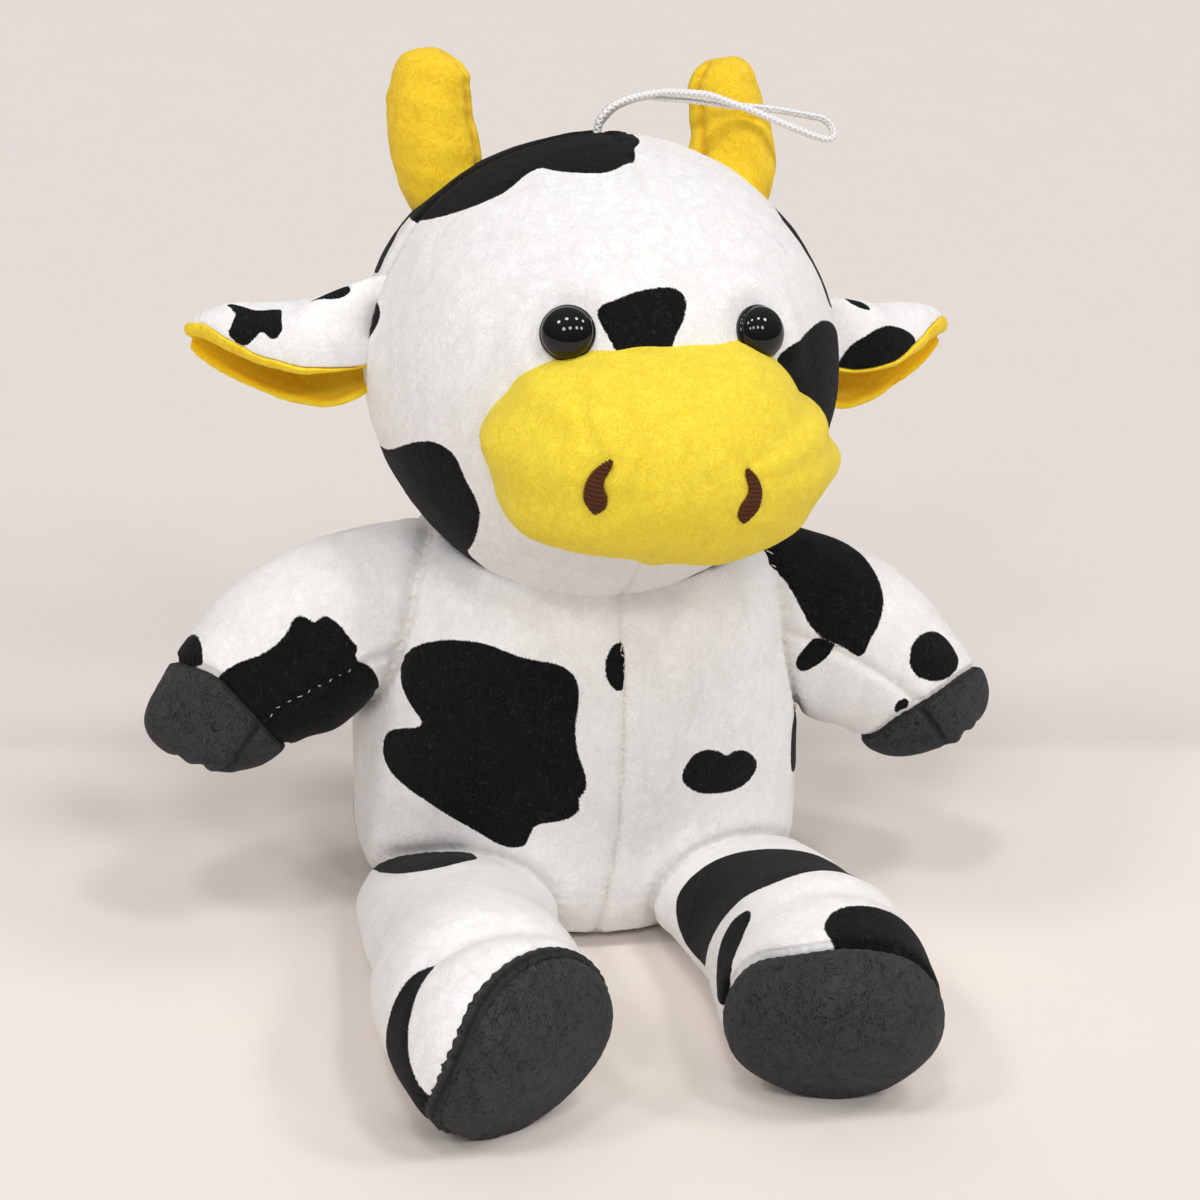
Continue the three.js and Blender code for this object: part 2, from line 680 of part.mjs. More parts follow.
// Horns
{
  const root = new THREE.Vector3(
    HORN.rootShares.x * HEAD_WIDTH,
    HORN.rootShares.y * HEAD_WIDTH,
    HORN.rootShares.z * HEAD_HEIGHT,
  );
  for (const [side, group, bends] of [["left", head, LEFT_HORN], ["right", headMirror, RIGHT_HORN]]) {
    const { cover, filling } = stuffed(spineOf(root, bends), HORN, headOver, FRONT);
    group.add(piece(`horn_${side}_cover`, cover, COLOURS.yellow));
    group.add(piece(`horn_${side}_stuffing`, filling, COLOURS.filling));
  }
}

// Ears: an outer leaf and a lining, each a folded sheet that tapers to the tip
{
  const axis = heading(EAR_YAW, EAR_TILT);
  const [across, tall] = [HEAD_WIDTH / 2, HEAD_HEIGHT / 2];
  const reach = across * Math.sqrt(1 - (EAR_FORWARD / across) ** 2 - (EAR_RISE / tall) ** 2);
  const start = new THREE.Vector3(reach, -EAR_FORWARD, EAR_RISE);
  const up = UP.clone().addScaledVector(axis, -UP.dot(axis)).normalize();
  up.applyAxisAngle(axis, radians(EAR_ROLL));
  const front = axis.clone().cross(up);
  const folds = Array.from({ length: EAR_TURNS + 1 }, (_, i) => {
    return radians(THREE.MathUtils.lerp(EAR_FOLD_FIRST_ANGLE, EAR_FOLD_LAST_ANGLE, i / EAR_TURNS));
  });
  const rim = EAR_RIM / (EAR_DEPTH / 2);
  const leaf = (inset, thickness, turns, rows) => {
    const point = ([along, girth], turn, depth) => {
      const height = (EAR_HEIGHT / 2) * girth - inset - depth;
      const width = (EAR_DEPTH / 2) * girth - inset - depth;
      return start
        .clone()
        .addScaledVector(axis, along * EAR_LENGTH)
        .addScaledVector(up, height * Math.sin(turn))
        .addScaledVector(front, width * Math.cos(turn));
    };
    const rings = rows.map((row) => {
      const inner = turns.map((turn) => point(row, turn, thickness));
      return [...inner, ...turns.map((turn) => point(row, turn, 0)).reverse()];
    });
    return ribbonSolid(rings).subtract(headOver);
  };
  const outer = leaf(0, EAR_CLOTH, folds, EAR_SHARES);
  const wider = [folds[0] - rim, ...folds, folds.at(-1) + rim];
  const lining = leaf(EAR_CLOTH + GAP, EAR_CLOTH, wider, EAR_SHARES.slice(0, -1));
  for (const [side, group] of [["left", head], ["right", headMirror]]) {
    group.add(piece(`ear_${side}_outer`, outer, COLOURS.white));
    group.add(piece(`ear_${side}_lining`, lining, COLOURS.yellow));
  }
}

// Hang loop
{
  const section = new THREE.Shape();
  section.absarc(0, 0, CORD_DIAMETER / 2, 0, 2 * Math.PI, false);
  const route = new THREE.CatmullRomCurve3(CORD_ROUTE.map((point) => new THREE.Vector3(...point)));
  const cord = new THREE.ExtrudeGeometry(section, {
    steps: CORD_STEPS,
    curveSegments: CORD_SIDES / 2,
    extrudePath: route,
    bevelEnabled: false,
  });
  cow.add(piece("hang_loop", solid(cord), COLOURS.cord, 0.6));
}

export default cow;
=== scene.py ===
# Sitting plush cow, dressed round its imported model: printed minky covers, satin-stitched nostrils,
# safety eyes, folded ears, hand-sewn limbs and a braided loop. Lengths below are in millimetres.
import math

import bmesh
import bpy
import numpy as np
from mathutils import Matrix, Vector, noise


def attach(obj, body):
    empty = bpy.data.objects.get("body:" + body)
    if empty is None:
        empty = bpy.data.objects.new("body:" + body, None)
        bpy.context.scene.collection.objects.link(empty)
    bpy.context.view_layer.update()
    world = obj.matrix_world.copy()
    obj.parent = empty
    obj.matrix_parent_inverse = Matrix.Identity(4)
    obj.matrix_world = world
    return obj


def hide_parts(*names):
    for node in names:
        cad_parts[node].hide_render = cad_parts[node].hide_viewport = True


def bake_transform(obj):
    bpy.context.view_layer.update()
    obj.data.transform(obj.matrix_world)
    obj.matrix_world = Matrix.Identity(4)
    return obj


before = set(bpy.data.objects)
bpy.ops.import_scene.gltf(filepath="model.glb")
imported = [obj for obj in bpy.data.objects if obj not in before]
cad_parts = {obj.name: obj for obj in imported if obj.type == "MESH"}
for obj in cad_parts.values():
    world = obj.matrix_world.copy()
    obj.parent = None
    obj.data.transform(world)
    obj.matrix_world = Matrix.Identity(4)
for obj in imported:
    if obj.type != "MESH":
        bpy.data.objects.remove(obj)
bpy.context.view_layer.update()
MM = 0.001
FINE = 1.0
SIGNS = {"left": 1, "right": -1}  # of x, on the cow's own left and right



def linked(name, data):
    """A new object of the scene."""
    item = bpy.data.objects.new(name, data)
    bpy.context.scene.collection.objects.link(item)
    return item


# Camera, at the photograph's viewing angle
view = bpy.data.cameras.new("camera")
view.sensor_width = 36
view.lens = 101.28
view.clip_start, view.clip_end = 0.05, 20
camera = linked("camera", view)
bpy.context.scene.camera = camera
CAMERA_RIGHT = (0.97449, -0.21738, 0.05577)
CAMERA_UP = (0.03898, 0.40869, 0.91184)
CAMERA_BACK = (-0.22101, -0.88641, 0.40674)
camera.matrix_world = Matrix.Translation((-0.1777671, -0.7255501, 0.4068662)) @ Matrix(
    [CAMERA_RIGHT, CAMERA_UP, CAMERA_BACK]
).transposed().to_4x4()


# Numbers: arrays of points are in millimetres until a mesh is written
def unit(v):
    """Vectors brought to a length of 1."""
    return v / np.maximum(np.linalg.norm(v, axis=-1, keepdims=True), 1e-12)


def heading(yaw, tilt):
    """Unit vector at a yaw from +X and a tilt above the level, in degrees."""
    yaw, tilt = math.radians(yaw), math.radians(tilt)
    return np.array([math.cos(tilt) * math.cos(yaw), math.cos(tilt) * math.sin(yaw), math.sin(tilt)])


def smooth(x, table, column=1):
    """Value at x of the soft curve through a table's rows."""
    table = np.array(table, float)
    known, value = table[:, 0], table[:, column]
    slope = np.gradient(value, known)
    x = np.clip(x, known[0], known[-1])
    i = np.clip(np.searchsorted(known, x) - 1, 0, len(known) - 2)
    step = known[i + 1] - known[i]
    t = (x - known[i]) / step
    start = (1 + 2 * t) * (1 - t) ** 2 * value[i] + t * (1 - t) ** 2 * step * slope[i]
    return start + t * t * (3 - 2 * t) * value[i + 1] + t * t * (t - 1) * step * slope[i + 1]


def around(angle):
    """An angle from -pi to pi."""
    return (angle + np.pi) % (2 * np.pi) - np.pi


def hill(distance, width):
    """1 at no distance, falling softly over a width."""
    return np.exp(-((distance / width) ** 2))


def step_up(x, low, high):
    """0 up to low, 1 from high on, and a soft rise between."""
    t = np.clip((x - low) / (high - low), 0, 1)
    return t * t * (3 - 2 * t)


def lumps(points, size, seed=0):
    """Soft lumps of a size, from -1 to 1, at each point."""
    shift = Vector((seed * 7.13, seed * 3.71, seed * 5.37))
    return np.array([noise.noise(Vector(p) + shift) for p in (points / size).tolist()])


def near(points, line, closed=False):
    """Distance of each point from a line of points, and how far along the line it lies."""
    line = np.array(line, float)
    if closed:
        line = np.vstack([line, line[:1]])
    best = np.full(len(points), 1e9)
    along = np.zeros(len(points))
    walked = 0.0
    for a, b in zip(line[:-1], line[1:]):
        span = b - a
        length = math.sqrt(float(span @ span)) + 1e-9
        t = np.clip((points - a) @ span / length**2, 0, 1)
        gap = np.linalg.norm(points - a - t[:, None] * span, axis=1)
        closer = gap < best
        best[closer] = gap[closer]
        along[closer] = walked + t[closer] * length
        walked += length
    return best, along


CORNER_CUT = 0.22  # share of each side that a corner loses


def rounded(outline):
    """An outline with its corners cut twice, as scissors leave them."""
    outline = np.array(outline, float)
    kept = 1 - CORNER_CUT
    for _ in range(2):
        following = np.roll(outline, -1, axis=0)
        pair = [kept * outline + CORNER_CUT * following, CORNER_CUT * outline + kept * following]
        outline = np.stack(pair, axis=1).reshape(-1, 2)
    return outline


FAR = 5.0  # a spot's edge is followed this far


def spots(chart, outlines, wrap=0):
    """How far each point of a chart is outside the nearest spot, less than 0 in a spot."""
    result = np.full(len(chart), FAR)
    for outline in outlines:
        outline = rounded(outline)
        for turn in (-wrap, 0, wrap) if wrap else (0,):
            line = outline + [0, turn]
            low, high = line.min(axis=0) - FAR, line.max(axis=0) + FAR
            pick = np.flatnonzero(np.all((chart > low) & (chart < high), axis=1))
            if not len(pick):
                continue
            there = chart[pick]
            distance, _ = near(there, line, closed=True)
            inside = np.zeros(len(pick), bool)
            for a, b in zip(line, np.roll(line, -1, axis=0)):
                crosses = (a[1] > there[:, 1]) != (b[1] > there[:, 1])
                rise = b[1] - a[1] if abs(b[1] - a[1]) > 1e-9 else 1e-9
                inside ^= crosses & (there[:, 0] < a[0] + (there[:, 1] - a[1]) * (b[0] - a[0]) / rise)
            result[pick] = np.minimum(result[pick], np.where(inside, -distance, distance))
    return result


class Spine:
    """Middle line of a limb or a cord, read by the distance along it."""

    def __init__(self, points, reference=None):
        self.points = np.array(points, float)
        walked = np.linalg.norm(np.diff(self.points, axis=0), axis=1)
        self.reach = np.concatenate([[0], np.cumsum(walked)])
        self.length = self.reach[-1]
        self.along = unit(np.gradient(self.points, self.reach, axis=0))
        if reference is not None:
            self.side = unit(np.cross(reference, self.along))
        else:
            sides = [unit(np.cross((0.0, 1.0, 0.0), self.along[0]))]
            for along in self.along[1:]:
                sides.append(unit(sides[-1] - along * (sides[-1] @ along)))
            self.side = np.array(sides)
        self.over = np.cross(self.along, self.side)

    def at(self, s):
        """Point at a distance along the line, and the three ways there; it runs on straight past its ends."""

        def between(values):
            return np.stack([np.interp(s, self.reach, values[:, k]) for k in range(3)], axis=-1)

        along, side, over = unit(between(self.along)), unit(between(self.side)), unit(between(self.over))
        past = s - np.clip(s, 0, self.length)
        return between(self.points) + along * past[..., None], along, side, over


def bent(root, bends, sign, reference):
    """Spine that leaves its root along one heading and ends along another; sign is -1 on the cow's right."""
    length, yaw, tilt, end_length, end_yaw, end_tilt = bends
    root = np.array(root, float)
    bend = root + heading(yaw, tilt) * length
    end = bend + heading(end_yaw, end_tilt) * end_length
    t = np.linspace(0, 1, 200)[:, None]
    line = (1 - t) ** 2 * root + 2 * t * (1 - t) * bend + t * t * end
    return Spine(line * [sign, 1, 1], reference)


def turned_about(degrees, axis):
    return Matrix.Rotation(math.radians(degrees), 3, axis)


# The head is turned and tilted a little on the body
HEAD_LEVEL = 135.5
HEAD_RADII = np.array([55.5, 55.5, 53.0])
HEAD_TURN = np.array(turned_about(2, "Y") @ turned_about(2.5, "Z"))


def head_place(points):
    """Points of the head's own frame, in the part's frame."""
    return points @ HEAD_TURN.T + [0, 0, HEAD_LEVEL]


# Making pieces
def ball(name, sides, rings):
    """A closed ball of rings, with each vertex's ring, counted from its lower pole, and its turn."""
    mesh = bpy.data.meshes.new(name)
    bm = bmesh.new()
    bmesh.ops.create_uvsphere(bm, u_segments=sides, v_segments=rings, radius=1)
    bmesh.ops.recalc_face_normals(bm, faces=bm.faces)
    bm.to_mesh(mesh)
    bm.free()
    points = read(mesh)
    level = 1 - np.arccos(np.clip(points[:, 2], -1, 1)) / math.pi
    ring = np.rint(level * rings).astype(int)
    turn = np.arctan2(points[:, 1], points[:, 0])
    turn[(ring == 0) | (ring == rings)] = 0
    return linked(name, mesh), ring, turn


def read(mesh):
    """Where a mesh's vertices are."""
    points = np.empty(len(mesh.vertices) * 3)
    mesh.vertices.foreach_get("co", points)
    return points.reshape(-1, 3)


def place(piece, points):
    """Moves a piece's vertices to points in millimetres."""
    piece.data.vertices.foreach_set("co", (points * MM).ravel())
    piece.data.update()
    piece.data.shade_smooth()


def normals(piece):
    """The way out of a piece at each vertex."""
    found = np.empty(len(piece.data.vertices) * 3)
    piece.data.vertex_normals.foreach_get("vector", found)
    return found.reshape(-1, 3)


def note(piece, name, values):
    """Keeps a number or a vector at each vertex, for the materials."""
    vector = values.ndim == 2
    kind = "FLOAT_VECTOR" if vector else "FLOAT"
    layer = piece.data.attributes.new(name, kind, "POINT")
    layer.data.foreach_set("vector" if vector else "value", values.astype(np.float32).ravel())


# Sizes of a cover's dents, its lesser dents and the unevenness of the cloth itself
DENT, LESSER_DENT, UNEVEN = 24, 9, 2.6
FLOOR_GAP = 0.05  # between the cloth and the table


def cloth(piece, points, seams, dents, relief=None, print_at=None, floor=True):
    """Sews a cover: dents from the filling, uneven cloth, and furrows at the seams. A seam gives its line and
    whether that closes, the furrow's depth and width, and its puckers' height and length."""
    place(piece, points)
    out = normals(piece)
    push = dents * (lumps(points, DENT, 1) + 0.4 * lumps(points, LESSER_DENT, 2)) + 0.07 * lumps(points, UNEVEN, 3)
    if relief is not None:
        push += relief
    furrow = np.full(len(points), FAR)
    for line, closed, depth, width, pucker, pucker_length in seams:
        distance, along = near(points, line, closed)
        push -= depth * hill(distance, width) - 0.25 * depth * hill(distance - 2.6 * width, 1.6 * width)
        wave = 2 * np.pi * along / pucker_length + 1.4 * np.sin(along / 5.1)
        push += pucker * (np.cos(wave) * hill(distance, 2.2 * width))
        furrow = np.minimum(furrow, distance)
    moved = points + out * push[:, None]
    if floor:
        moved[:, 2] = np.maximum(moved[:, 2], FLOOR_GAP)
    place(piece, moved)
    note(piece, "spot", np.full(len(points), FAR) if print_at is None else print_at)
    # the distance to the nearest seam, which the materials read to paint shade in the seams' furrows
    note(piece, "seam", furrow)
    note(piece, "lay", points)


def finish(piece, body, nodes, material):
    """Gives a piece its material, hides the nodes that it replaces, and attaches it to its one body; a piece given two
    bodies only has its place baked into its mesh.
    """
    piece.data.materials.clear()
    piece.data.materials.append(material)
    if nodes:
        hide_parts(*nodes)
    if isinstance(body, str):
        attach(piece, body)
    else:
        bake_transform(piece)
    return piece


def counted(number):
    """How many sides or rings a number stands for in this run, in fours."""
    return max(8, int(round(number * FINE / 4)) * 4)


def rows(start, stop, gap):
    """Even stations a gap apart."""
    return np.linspace(start, stop, max(4, int((stop - start) * FINE / gap)))


# Materials
def colour(text):
    """Linear colour of an sRGB hex value."""
    channels = [int(text[i : i + 2], 16) / 255 for i in (1, 3, 5)]
    return [c / 12.92 if c <= 0.04045 else ((c + 0.055) / 1.055) ** 2.4 for c in channels] + [1.0]


def add(tree, kind, links=None, **settings):
    """Adds a node; links gives its inputs, each a value or another node's output."""
    node = tree.nodes.new("ShaderNode" + kind)
    for key, value in settings.items():
        setattr(node, key, value)
    for key, value in (links or {}).items():
        if isinstance(value, bpy.types.NodeSocket):
            tree.links.new(value, node.inputs[key])
        else:
            node.inputs[key].default_value = value
    return node


def fresh(name):
    """A new material and its empty tree."""
    material = bpy.data.materials.new(name)
    material.use_nodes = True
    material.node_tree.nodes.clear()
    return material, material.node_tree


def surface(tree, links):
    """Ends a tree in a shader."""
    shader = add(tree, "BsdfPrincipled", links)
    add(tree, "OutputMaterial", {"Surface": shader.outputs["BSDF"]})


def minky(name, light, shade, roughness, sheen, printed=None, pile=(0.5, 2.2), relief=0.35, clumps=0.7):
    """Short-pile minky: strokes of pile a couple of millimetres long that swirl over the cloth. Its colour follows the
    pile's bump: painted light on the strokes' tops, painted shade between them and in the furrows along the seams;
    light and shade are its two colours, printed those of its spots, whose lighter one is a painted highlight on the
    strokes' ridges."""
    material, tree = fresh(name)
    lay = add(tree, "Attribute", attribute_name="lay").outputs["Vector"]
    warp = add(tree, "TexNoise", {"Vector": lay, "Scale": 0.16, "Detail": 2.0, "Roughness": 0.5})
    swirl = add(tree, "VectorMath", {0: warp.outputs["Color"], 1: (-0.5, -0.5, -0.5)}, operation="ADD")
    swing = add(tree, "VectorMath", {0: swirl.outputs[0], "Scale": 9.0}, operation="SCALE")
    bent_lay = add(tree, "VectorMath", {0: lay, 1: swing.outputs[0]}, operation="ADD")
    width, length = pile
    laid, shape = bent_lay.outputs[0], (1 / width, 1 / width, 1 / length)
    stretched = add(tree, "Mapping", {"Vector": laid, "Scale": shape}).outputs[0]
    strokes = add(tree, "TexNoise", {"Vector": stretched, "Scale": 1.0, "Detail": 3.0, "Roughness": 0.6})
    tufts = add(tree, "TexNoise", {"Vector": laid, "Scale": 0.42, "Detail": 3.0, "Roughness": 0.55})
    stroke, tuft = strokes.outputs["Fac"], tufts.outputs["Fac"]
    height = add(tree, "Math", {0: tuft, 1: clumps, 2: stroke}, operation="MULTIPLY_ADD").outputs[0]
    middle = 0.5 + 0.5 * clumps
    # painted light and shade: the pile is lighter on the tops of its strokes and darker between them
    pile_light_and_shade = add(tree, "MapRange", {"Value": height, "From Min": middle - 0.2, "From Max": middle + 0.06})
    # painted shade in the furrows along the seams: near a seam the colour turns to the shade tone
    seam = add(tree, "Attribute", attribute_name="seam").outputs["Fac"]
    furrow = add(tree, "MapRange", {"Value": seam, "From Min": 0.1, "From Max": 1.3})
    pile_and_seam_shade = add(tree, "Math", {0: pile_light_and_shade.outputs[0], 1: furrow.outputs[0]}, operation="MULTIPLY")
    tones = {"Factor": pile_and_seam_shade.outputs[0], "A": colour(shade), "B": colour(light)}
    result = add(tree, "Mix", tones, data_type="RGBA").outputs["Result"]
    if printed:
        spot = add(tree, "Attribute", attribute_name="spot").outputs["Fac"]
        ragged = add(tree, "Math", {0: stroke, 1: 1.0, 2: spot}, operation="MULTIPLY_ADD")
        edge = add(tree, "MapRange", {"Value": ragged.outputs[0], "From Min": 0.4, "From Max": 0.64})
        # painted highlight: the black print turns lighter on the strokes' ridges
        crest_highlight = add(tree, "MapRange", {"Value": height, "From Min": middle + 0.04, "From Max": middle + 0.24})
        ink_highlight_tones = {"Factor": crest_highlight.outputs[0], "A": colour(printed[1]), "B": colour(printed[0])}
        ink_and_highlight = add(tree, "Mix", ink_highlight_tones, data_type="RGBA").outputs["Result"]
        tones = {"Factor": edge.outputs[0], "A": ink_and_highlight, "B": result}
        result = add(tree, "Mix", tones, data_type="RGBA").outputs["Result"]
    bump = add(tree, "Bump", {"Height": height, "Strength": 0.7, "Distance": relief * MM})
    surface(
        tree,
        {
            "Base Color": result,
            "Roughness": roughness,
            "Sheen Weight": sheen,
            "Sheen Roughness": 0.45,
            "Specular IOR Level": 0.2,
            "Normal": bump.outputs["Normal"],
        },
    )
    return material


# Printed polyester minky: clean white pile over the ground, with painted shade between its strokes; black print,
# lighter on the strokes' ridges as a painted highlight
WHITE = minky(
    "white_printed_minky", "#fbfafa", "#f0edeb", 0.95, 0.04,
    printed=("#2a2a2f", "#0a0a0c"), pile=(0.36, 1.9), relief=0.4, clumps=0.35,
)  # fmt: skip
# Lemon minky of the muzzle: painted light on the tops of the pile's strokes and painted shade between them
LEMON = minky("lemon_minky", "#fde648", "#f6d02a", 0.9, 0.1, pile=(0.4, 2.0), relief=0.45, clumps=0.25)
# Deeper yellow minky of the horns, from another bolt
AMBER = minky("amber_minky", "#ffda36", "#f6c022", 0.9, 0.08, pile=(0.4, 2.0), relief=0.4, clumps=0.6)
# Yellow minky that lines the ears, brushed flatter; a deeper, more saturated copy of the lemon, which paints in part
# the shade inside the ears' scoops
EAR_YELLOW = minky("ear_lining_minky", "#ffdf3a", "#fbc818", 0.9, 0.08, pile=(0.4, 1.8), relief=0.3)
# Charcoal minky of the hooves and soles, its longer pile swirled into clumps
CHARCOAL = minky("charcoal_minky", "#3f4042", "#151618", 0.9, 0.05, pile=(0.34, 1.6), relief=0.6, clumps=0.4)
# The black tuft at the end of the tail
BLACK = minky("black_minky", "#232327", "#0b0b0d", 0.88, 0.08)


def thread(name, light, shade, roughness):
    """Spun polyester thread: a fine twist along each stitch, darker in the twist's hollows as painted shade, and a
    soft shine across it.
    """
    material, tree = fresh(name)
    place_at = add(tree, "TexCoord").outputs["Object"]
    twist = add(tree, "TexNoise", {"Vector": place_at, "Scale": 4200.0, "Detail": 2.0})
    # painted shade: the thread's colour follows the twist's bump, darker where it is low
    tones = {"Factor": twist.outputs["Fac"], "A": colour(shade), "B": colour(light)}
    tone = add(tree, "Mix", tones, data_type="RGBA").outputs["Result"]
    bump = add(tree, "Bump", {"Height": twist.outputs["Fac"], "Strength": 0.4, "Distance": 0.00005})
    surface(
        tree,
        {
            "Base Color": tone,
            "Roughness": roughness,
            "Specular IOR Level": 0.25,
            "Normal": bump.outputs["Normal"],
        },
    )
    return material


# Brown embroidery thread, satin-stitched, with a silky gleam
SATIN = thread("brown_satin_thread", "#6b3a14", "#2b1404", 0.6)
# Ivory sewing thread of the hand-sewn joins
IVORY = thread("ivory_sewing_thread", "#f0e9de", "#d8cdbd", 0.6)


PLAIT = 1.3  # length of one crossing of the braid


def braid():
    """Braided nylon: strands of about 0.6 mm crossing both ways round the cord."""
    material, tree = fresh("braided_nylon_cord")
    lay = add(tree, "Attribute", attribute_name="lay").outputs["Vector"]
    parts = add(tree, "SeparateXYZ", {"Vector": lay})
    waves = []
    for sign in (1.0, -1.0):
        lean = add(tree, "Math", {0: parts.outputs["Y"], 1: sign, 2: parts.outputs["X"]}, operation="MULTIPLY_ADD")
        turn = add(tree, "Math", {0: lean.outputs[0], 1: 2 * math.pi / PLAIT}, operation="MULTIPLY")
        waves.append(add(tree, "Math", {0: turn.outputs[0]}, operation="SINE"))
    crossed = add(tree, "Math", {0: waves[0].outputs[0], 1: waves[1].outputs[0]}, operation="MAXIMUM")
    # painted shade: the cord's colour is darker between the crossing strands, where the bump is low
    fac = add(tree, "MapRange", {"Value": crossed.outputs[0], "From Min": -0.6, "From Max": 1.0})
    tones = {"Factor": fac.outputs[0], "A": colour("#e2dfdd"), "B": colour("#fbfafa")}
    tone = add(tree, "Mix", tones, data_type="RGBA")
    bump = add(tree, "Bump", {"Height": fac.outputs[0], "Strength": 0.8, "Distance": 0.0002})
    surface(tree, {"Base Color": tone.outputs["Result"], "Roughness": 0.55, "Normal": bump.outputs["Normal"]})
    return material


CORD = braid()


def button():
    """Moulded black ABS, polished: deep black with a clear gloss, hazed here and there by handling."""
    material, tree = fresh("polished_black_abs")
    place_at = add(tree, "TexCoord").outputs["Object"]
    haze = add(tree, "TexNoise", {"Vector": place_at, "Scale": 900.0, "Detail": 2.0})
    gloss = add(tree, "MapRange", {"Value": haze.outputs["Fac"], "To Min": 0.03, "To Max": 0.07})
    surface(tree, {"Base Color": colour("#08080a"), "Roughness": gloss.outputs[0], "IOR": 1.46})
    return material


EYE = button()

# Hang loop: a braided cord, both ends sewn into the top of the head
CORD_DIAMETER = 1.7
CORD_ROUTE = [
    (-1.8, 10.6, 187.5), (-1.7, 10.7, 188.6), (-1, 10.9, 191.2), (1.6, 11.4, 193.8), (5.2, 12.4, 195.2),
    (10.2, 13.8, 196), (15.8, 15.2, 196.2), (21.5, 15.9, 195.7), (26, 16, 195.1), (30.7, 15.8, 193.5),
    (36.6, 14.7, 191.6), (43.2, 13.3, 189.1), (47, 12.7, 187.7), (51, 12.5, 186.2), (54.3, 13, 185.2),
    (56.3, 14.3, 185.2), (56.9, 15.8, 186), (56.4, 17.3, 187.3), (54.6, 18.1, 188.6), (51.6, 18.2, 189.3),
    (48.3, 18.1, 189.9), (44.4, 18.2, 190.6), (37.5, 18.1, 191.5), (31.4, 18, 192), (26.7, 18, 192.8),
    (22.1, 17.8, 193.4), (16.3, 17.1, 194.1), (10.8, 16.1, 194.8), (5.9, 14.9, 194), (2.4, 13.8, 192.5),
    (-0.3, 13, 189.9), (-1, 12.8, 188.2), (-1.1, 12.8, 187.1),
]  # fmt: skip


def through(points, steps):
    """Soft line through points."""
    points = np.array(points, float)
    rows = np.column_stack([np.arange(len(points)), points])
    t = np.linspace(0, len(points) - 1, steps)
    return np.stack([smooth(t, rows, k) for k in (1, 2, 3)], axis=1)


def about(centre, side, over, wide, tall, turn):
    """Points round a centre, a half width to its side and a half height over it."""
    return centre + side * (wide * np.cos(turn))[..., None] + over * (tall * np.sin(turn))[..., None]


def hang_loop():
    spine = Spine(through(CORD_ROUTE, 400))
    radius = CORD_DIAMETER / 2
    sunk = 1.0  # each end runs on into the pile of the head
    run = np.linspace(-sunk, spine.length + sunk, counted(520))
    stations = np.concatenate([[-sunk, -sunk], run, [spine.length + sunk] * 2])
    girth = np.concatenate([[0, 0.6], np.ones(len(run)), [0.6, 0]])
    piece, ring, turn = ball("hang_loop_cord", 20, len(stations) - 1)
    s = stations[ring]
    centre, along, side, over = spine.at(s)
    plait = np.cos(2 * np.pi * s / PLAIT) * np.cos(3 * turn)
    plump = radius * girth[ring] * (1 + 0.07 * plait)
    place(piece, about(centre, side, over, plump, plump, turn))
    note(piece, "lay", np.stack([s, turn * PLAIT * 3 / (2 * np.pi), 0 * s], axis=1))
    finish(piece, "head", ["hang_loop"], CORD)


hang_loop()


def stitches(name, threads, body, material, nodes=()):
    """Lengths of thread in one mesh, each from one point to another over a bulge, with rounded ends."""
    bm = bmesh.new()
    for start, end, out, radius, bulge in threads:
        made = bmesh.ops.create_uvsphere(bm, u_segments=6, v_segments=8, radius=1)
        start, end, out = np.array(start, float), np.array(end, float), unit(np.array(out, float))
        run = end - start
        along = unit(run)
        side = unit(np.cross(out, along))
        over = np.cross(along, side)
        for vert in made["verts"]:
            t = 1 - math.acos(max(-1, min(1, vert.co.z))) / math.pi
            thick = radius * min(1.0, 2.6 * math.hypot(vert.co.x, vert.co.y))
            turn = math.atan2(vert.co.y, vert.co.x)
            point = start + run * t + over * (bulge * 4 * t * (1 - t))
            point = point + side * thick * math.cos(turn) + over * thick * math.sin(turn)
            vert.co = Vector(point * MM)
    bmesh.ops.recalc_face_normals(bm, faces=bm.faces)
    mesh = bpy.data.meshes.new(name)
    bm.to_mesh(mesh)
    bm.free()
    mesh.shade_smooth()
    finish(linked(name, mesh), body, nodes, material)


def running(name, piece, line, body, gap=1.9, length=1.1, radius=0.13):
    """Small ivory stitches along a line of a sewn piece, each leaning the other way from the last."""
    proud, slant = 0.12, 0.22  # how far a stitch stands out of the cloth, and how far each end leans
    cloth_points, out_of = read(piece.data) / MM, normals(piece)

    def nearest(point):
        return np.argmin(np.sum((cloth_points - point) ** 2, axis=1))

    walked = np.concatenate([[0], np.cumsum(np.linalg.norm(np.diff(line, axis=0), axis=1))])
    threads = []
    for k, due in enumerate(np.arange(1.0, walked[-1] - 1.0, gap)):
        ends = []
        for at in (due - length / 2, due + length / 2):
            point = np.array([np.interp(at, walked, line[:, j]) for j in range(3)])
            ends.append(cloth_points[nearest(point)] * 0.5 + point * 0.5)
        there = nearest(ends[0])
        out = out_of[there]
        level = float((cloth_points[there] - (ends[0] + ends[1]) / 2) @ out) + proud
        aside = unit(np.cross(ends[1] - ends[0], out)) * (slant if k % 2 else -slant)
        threads.append((ends[0] + out * level - aside, ends[1] + out * level + aside, out, radius, 0.12))
    stitches(name, threads, body, IVORY)


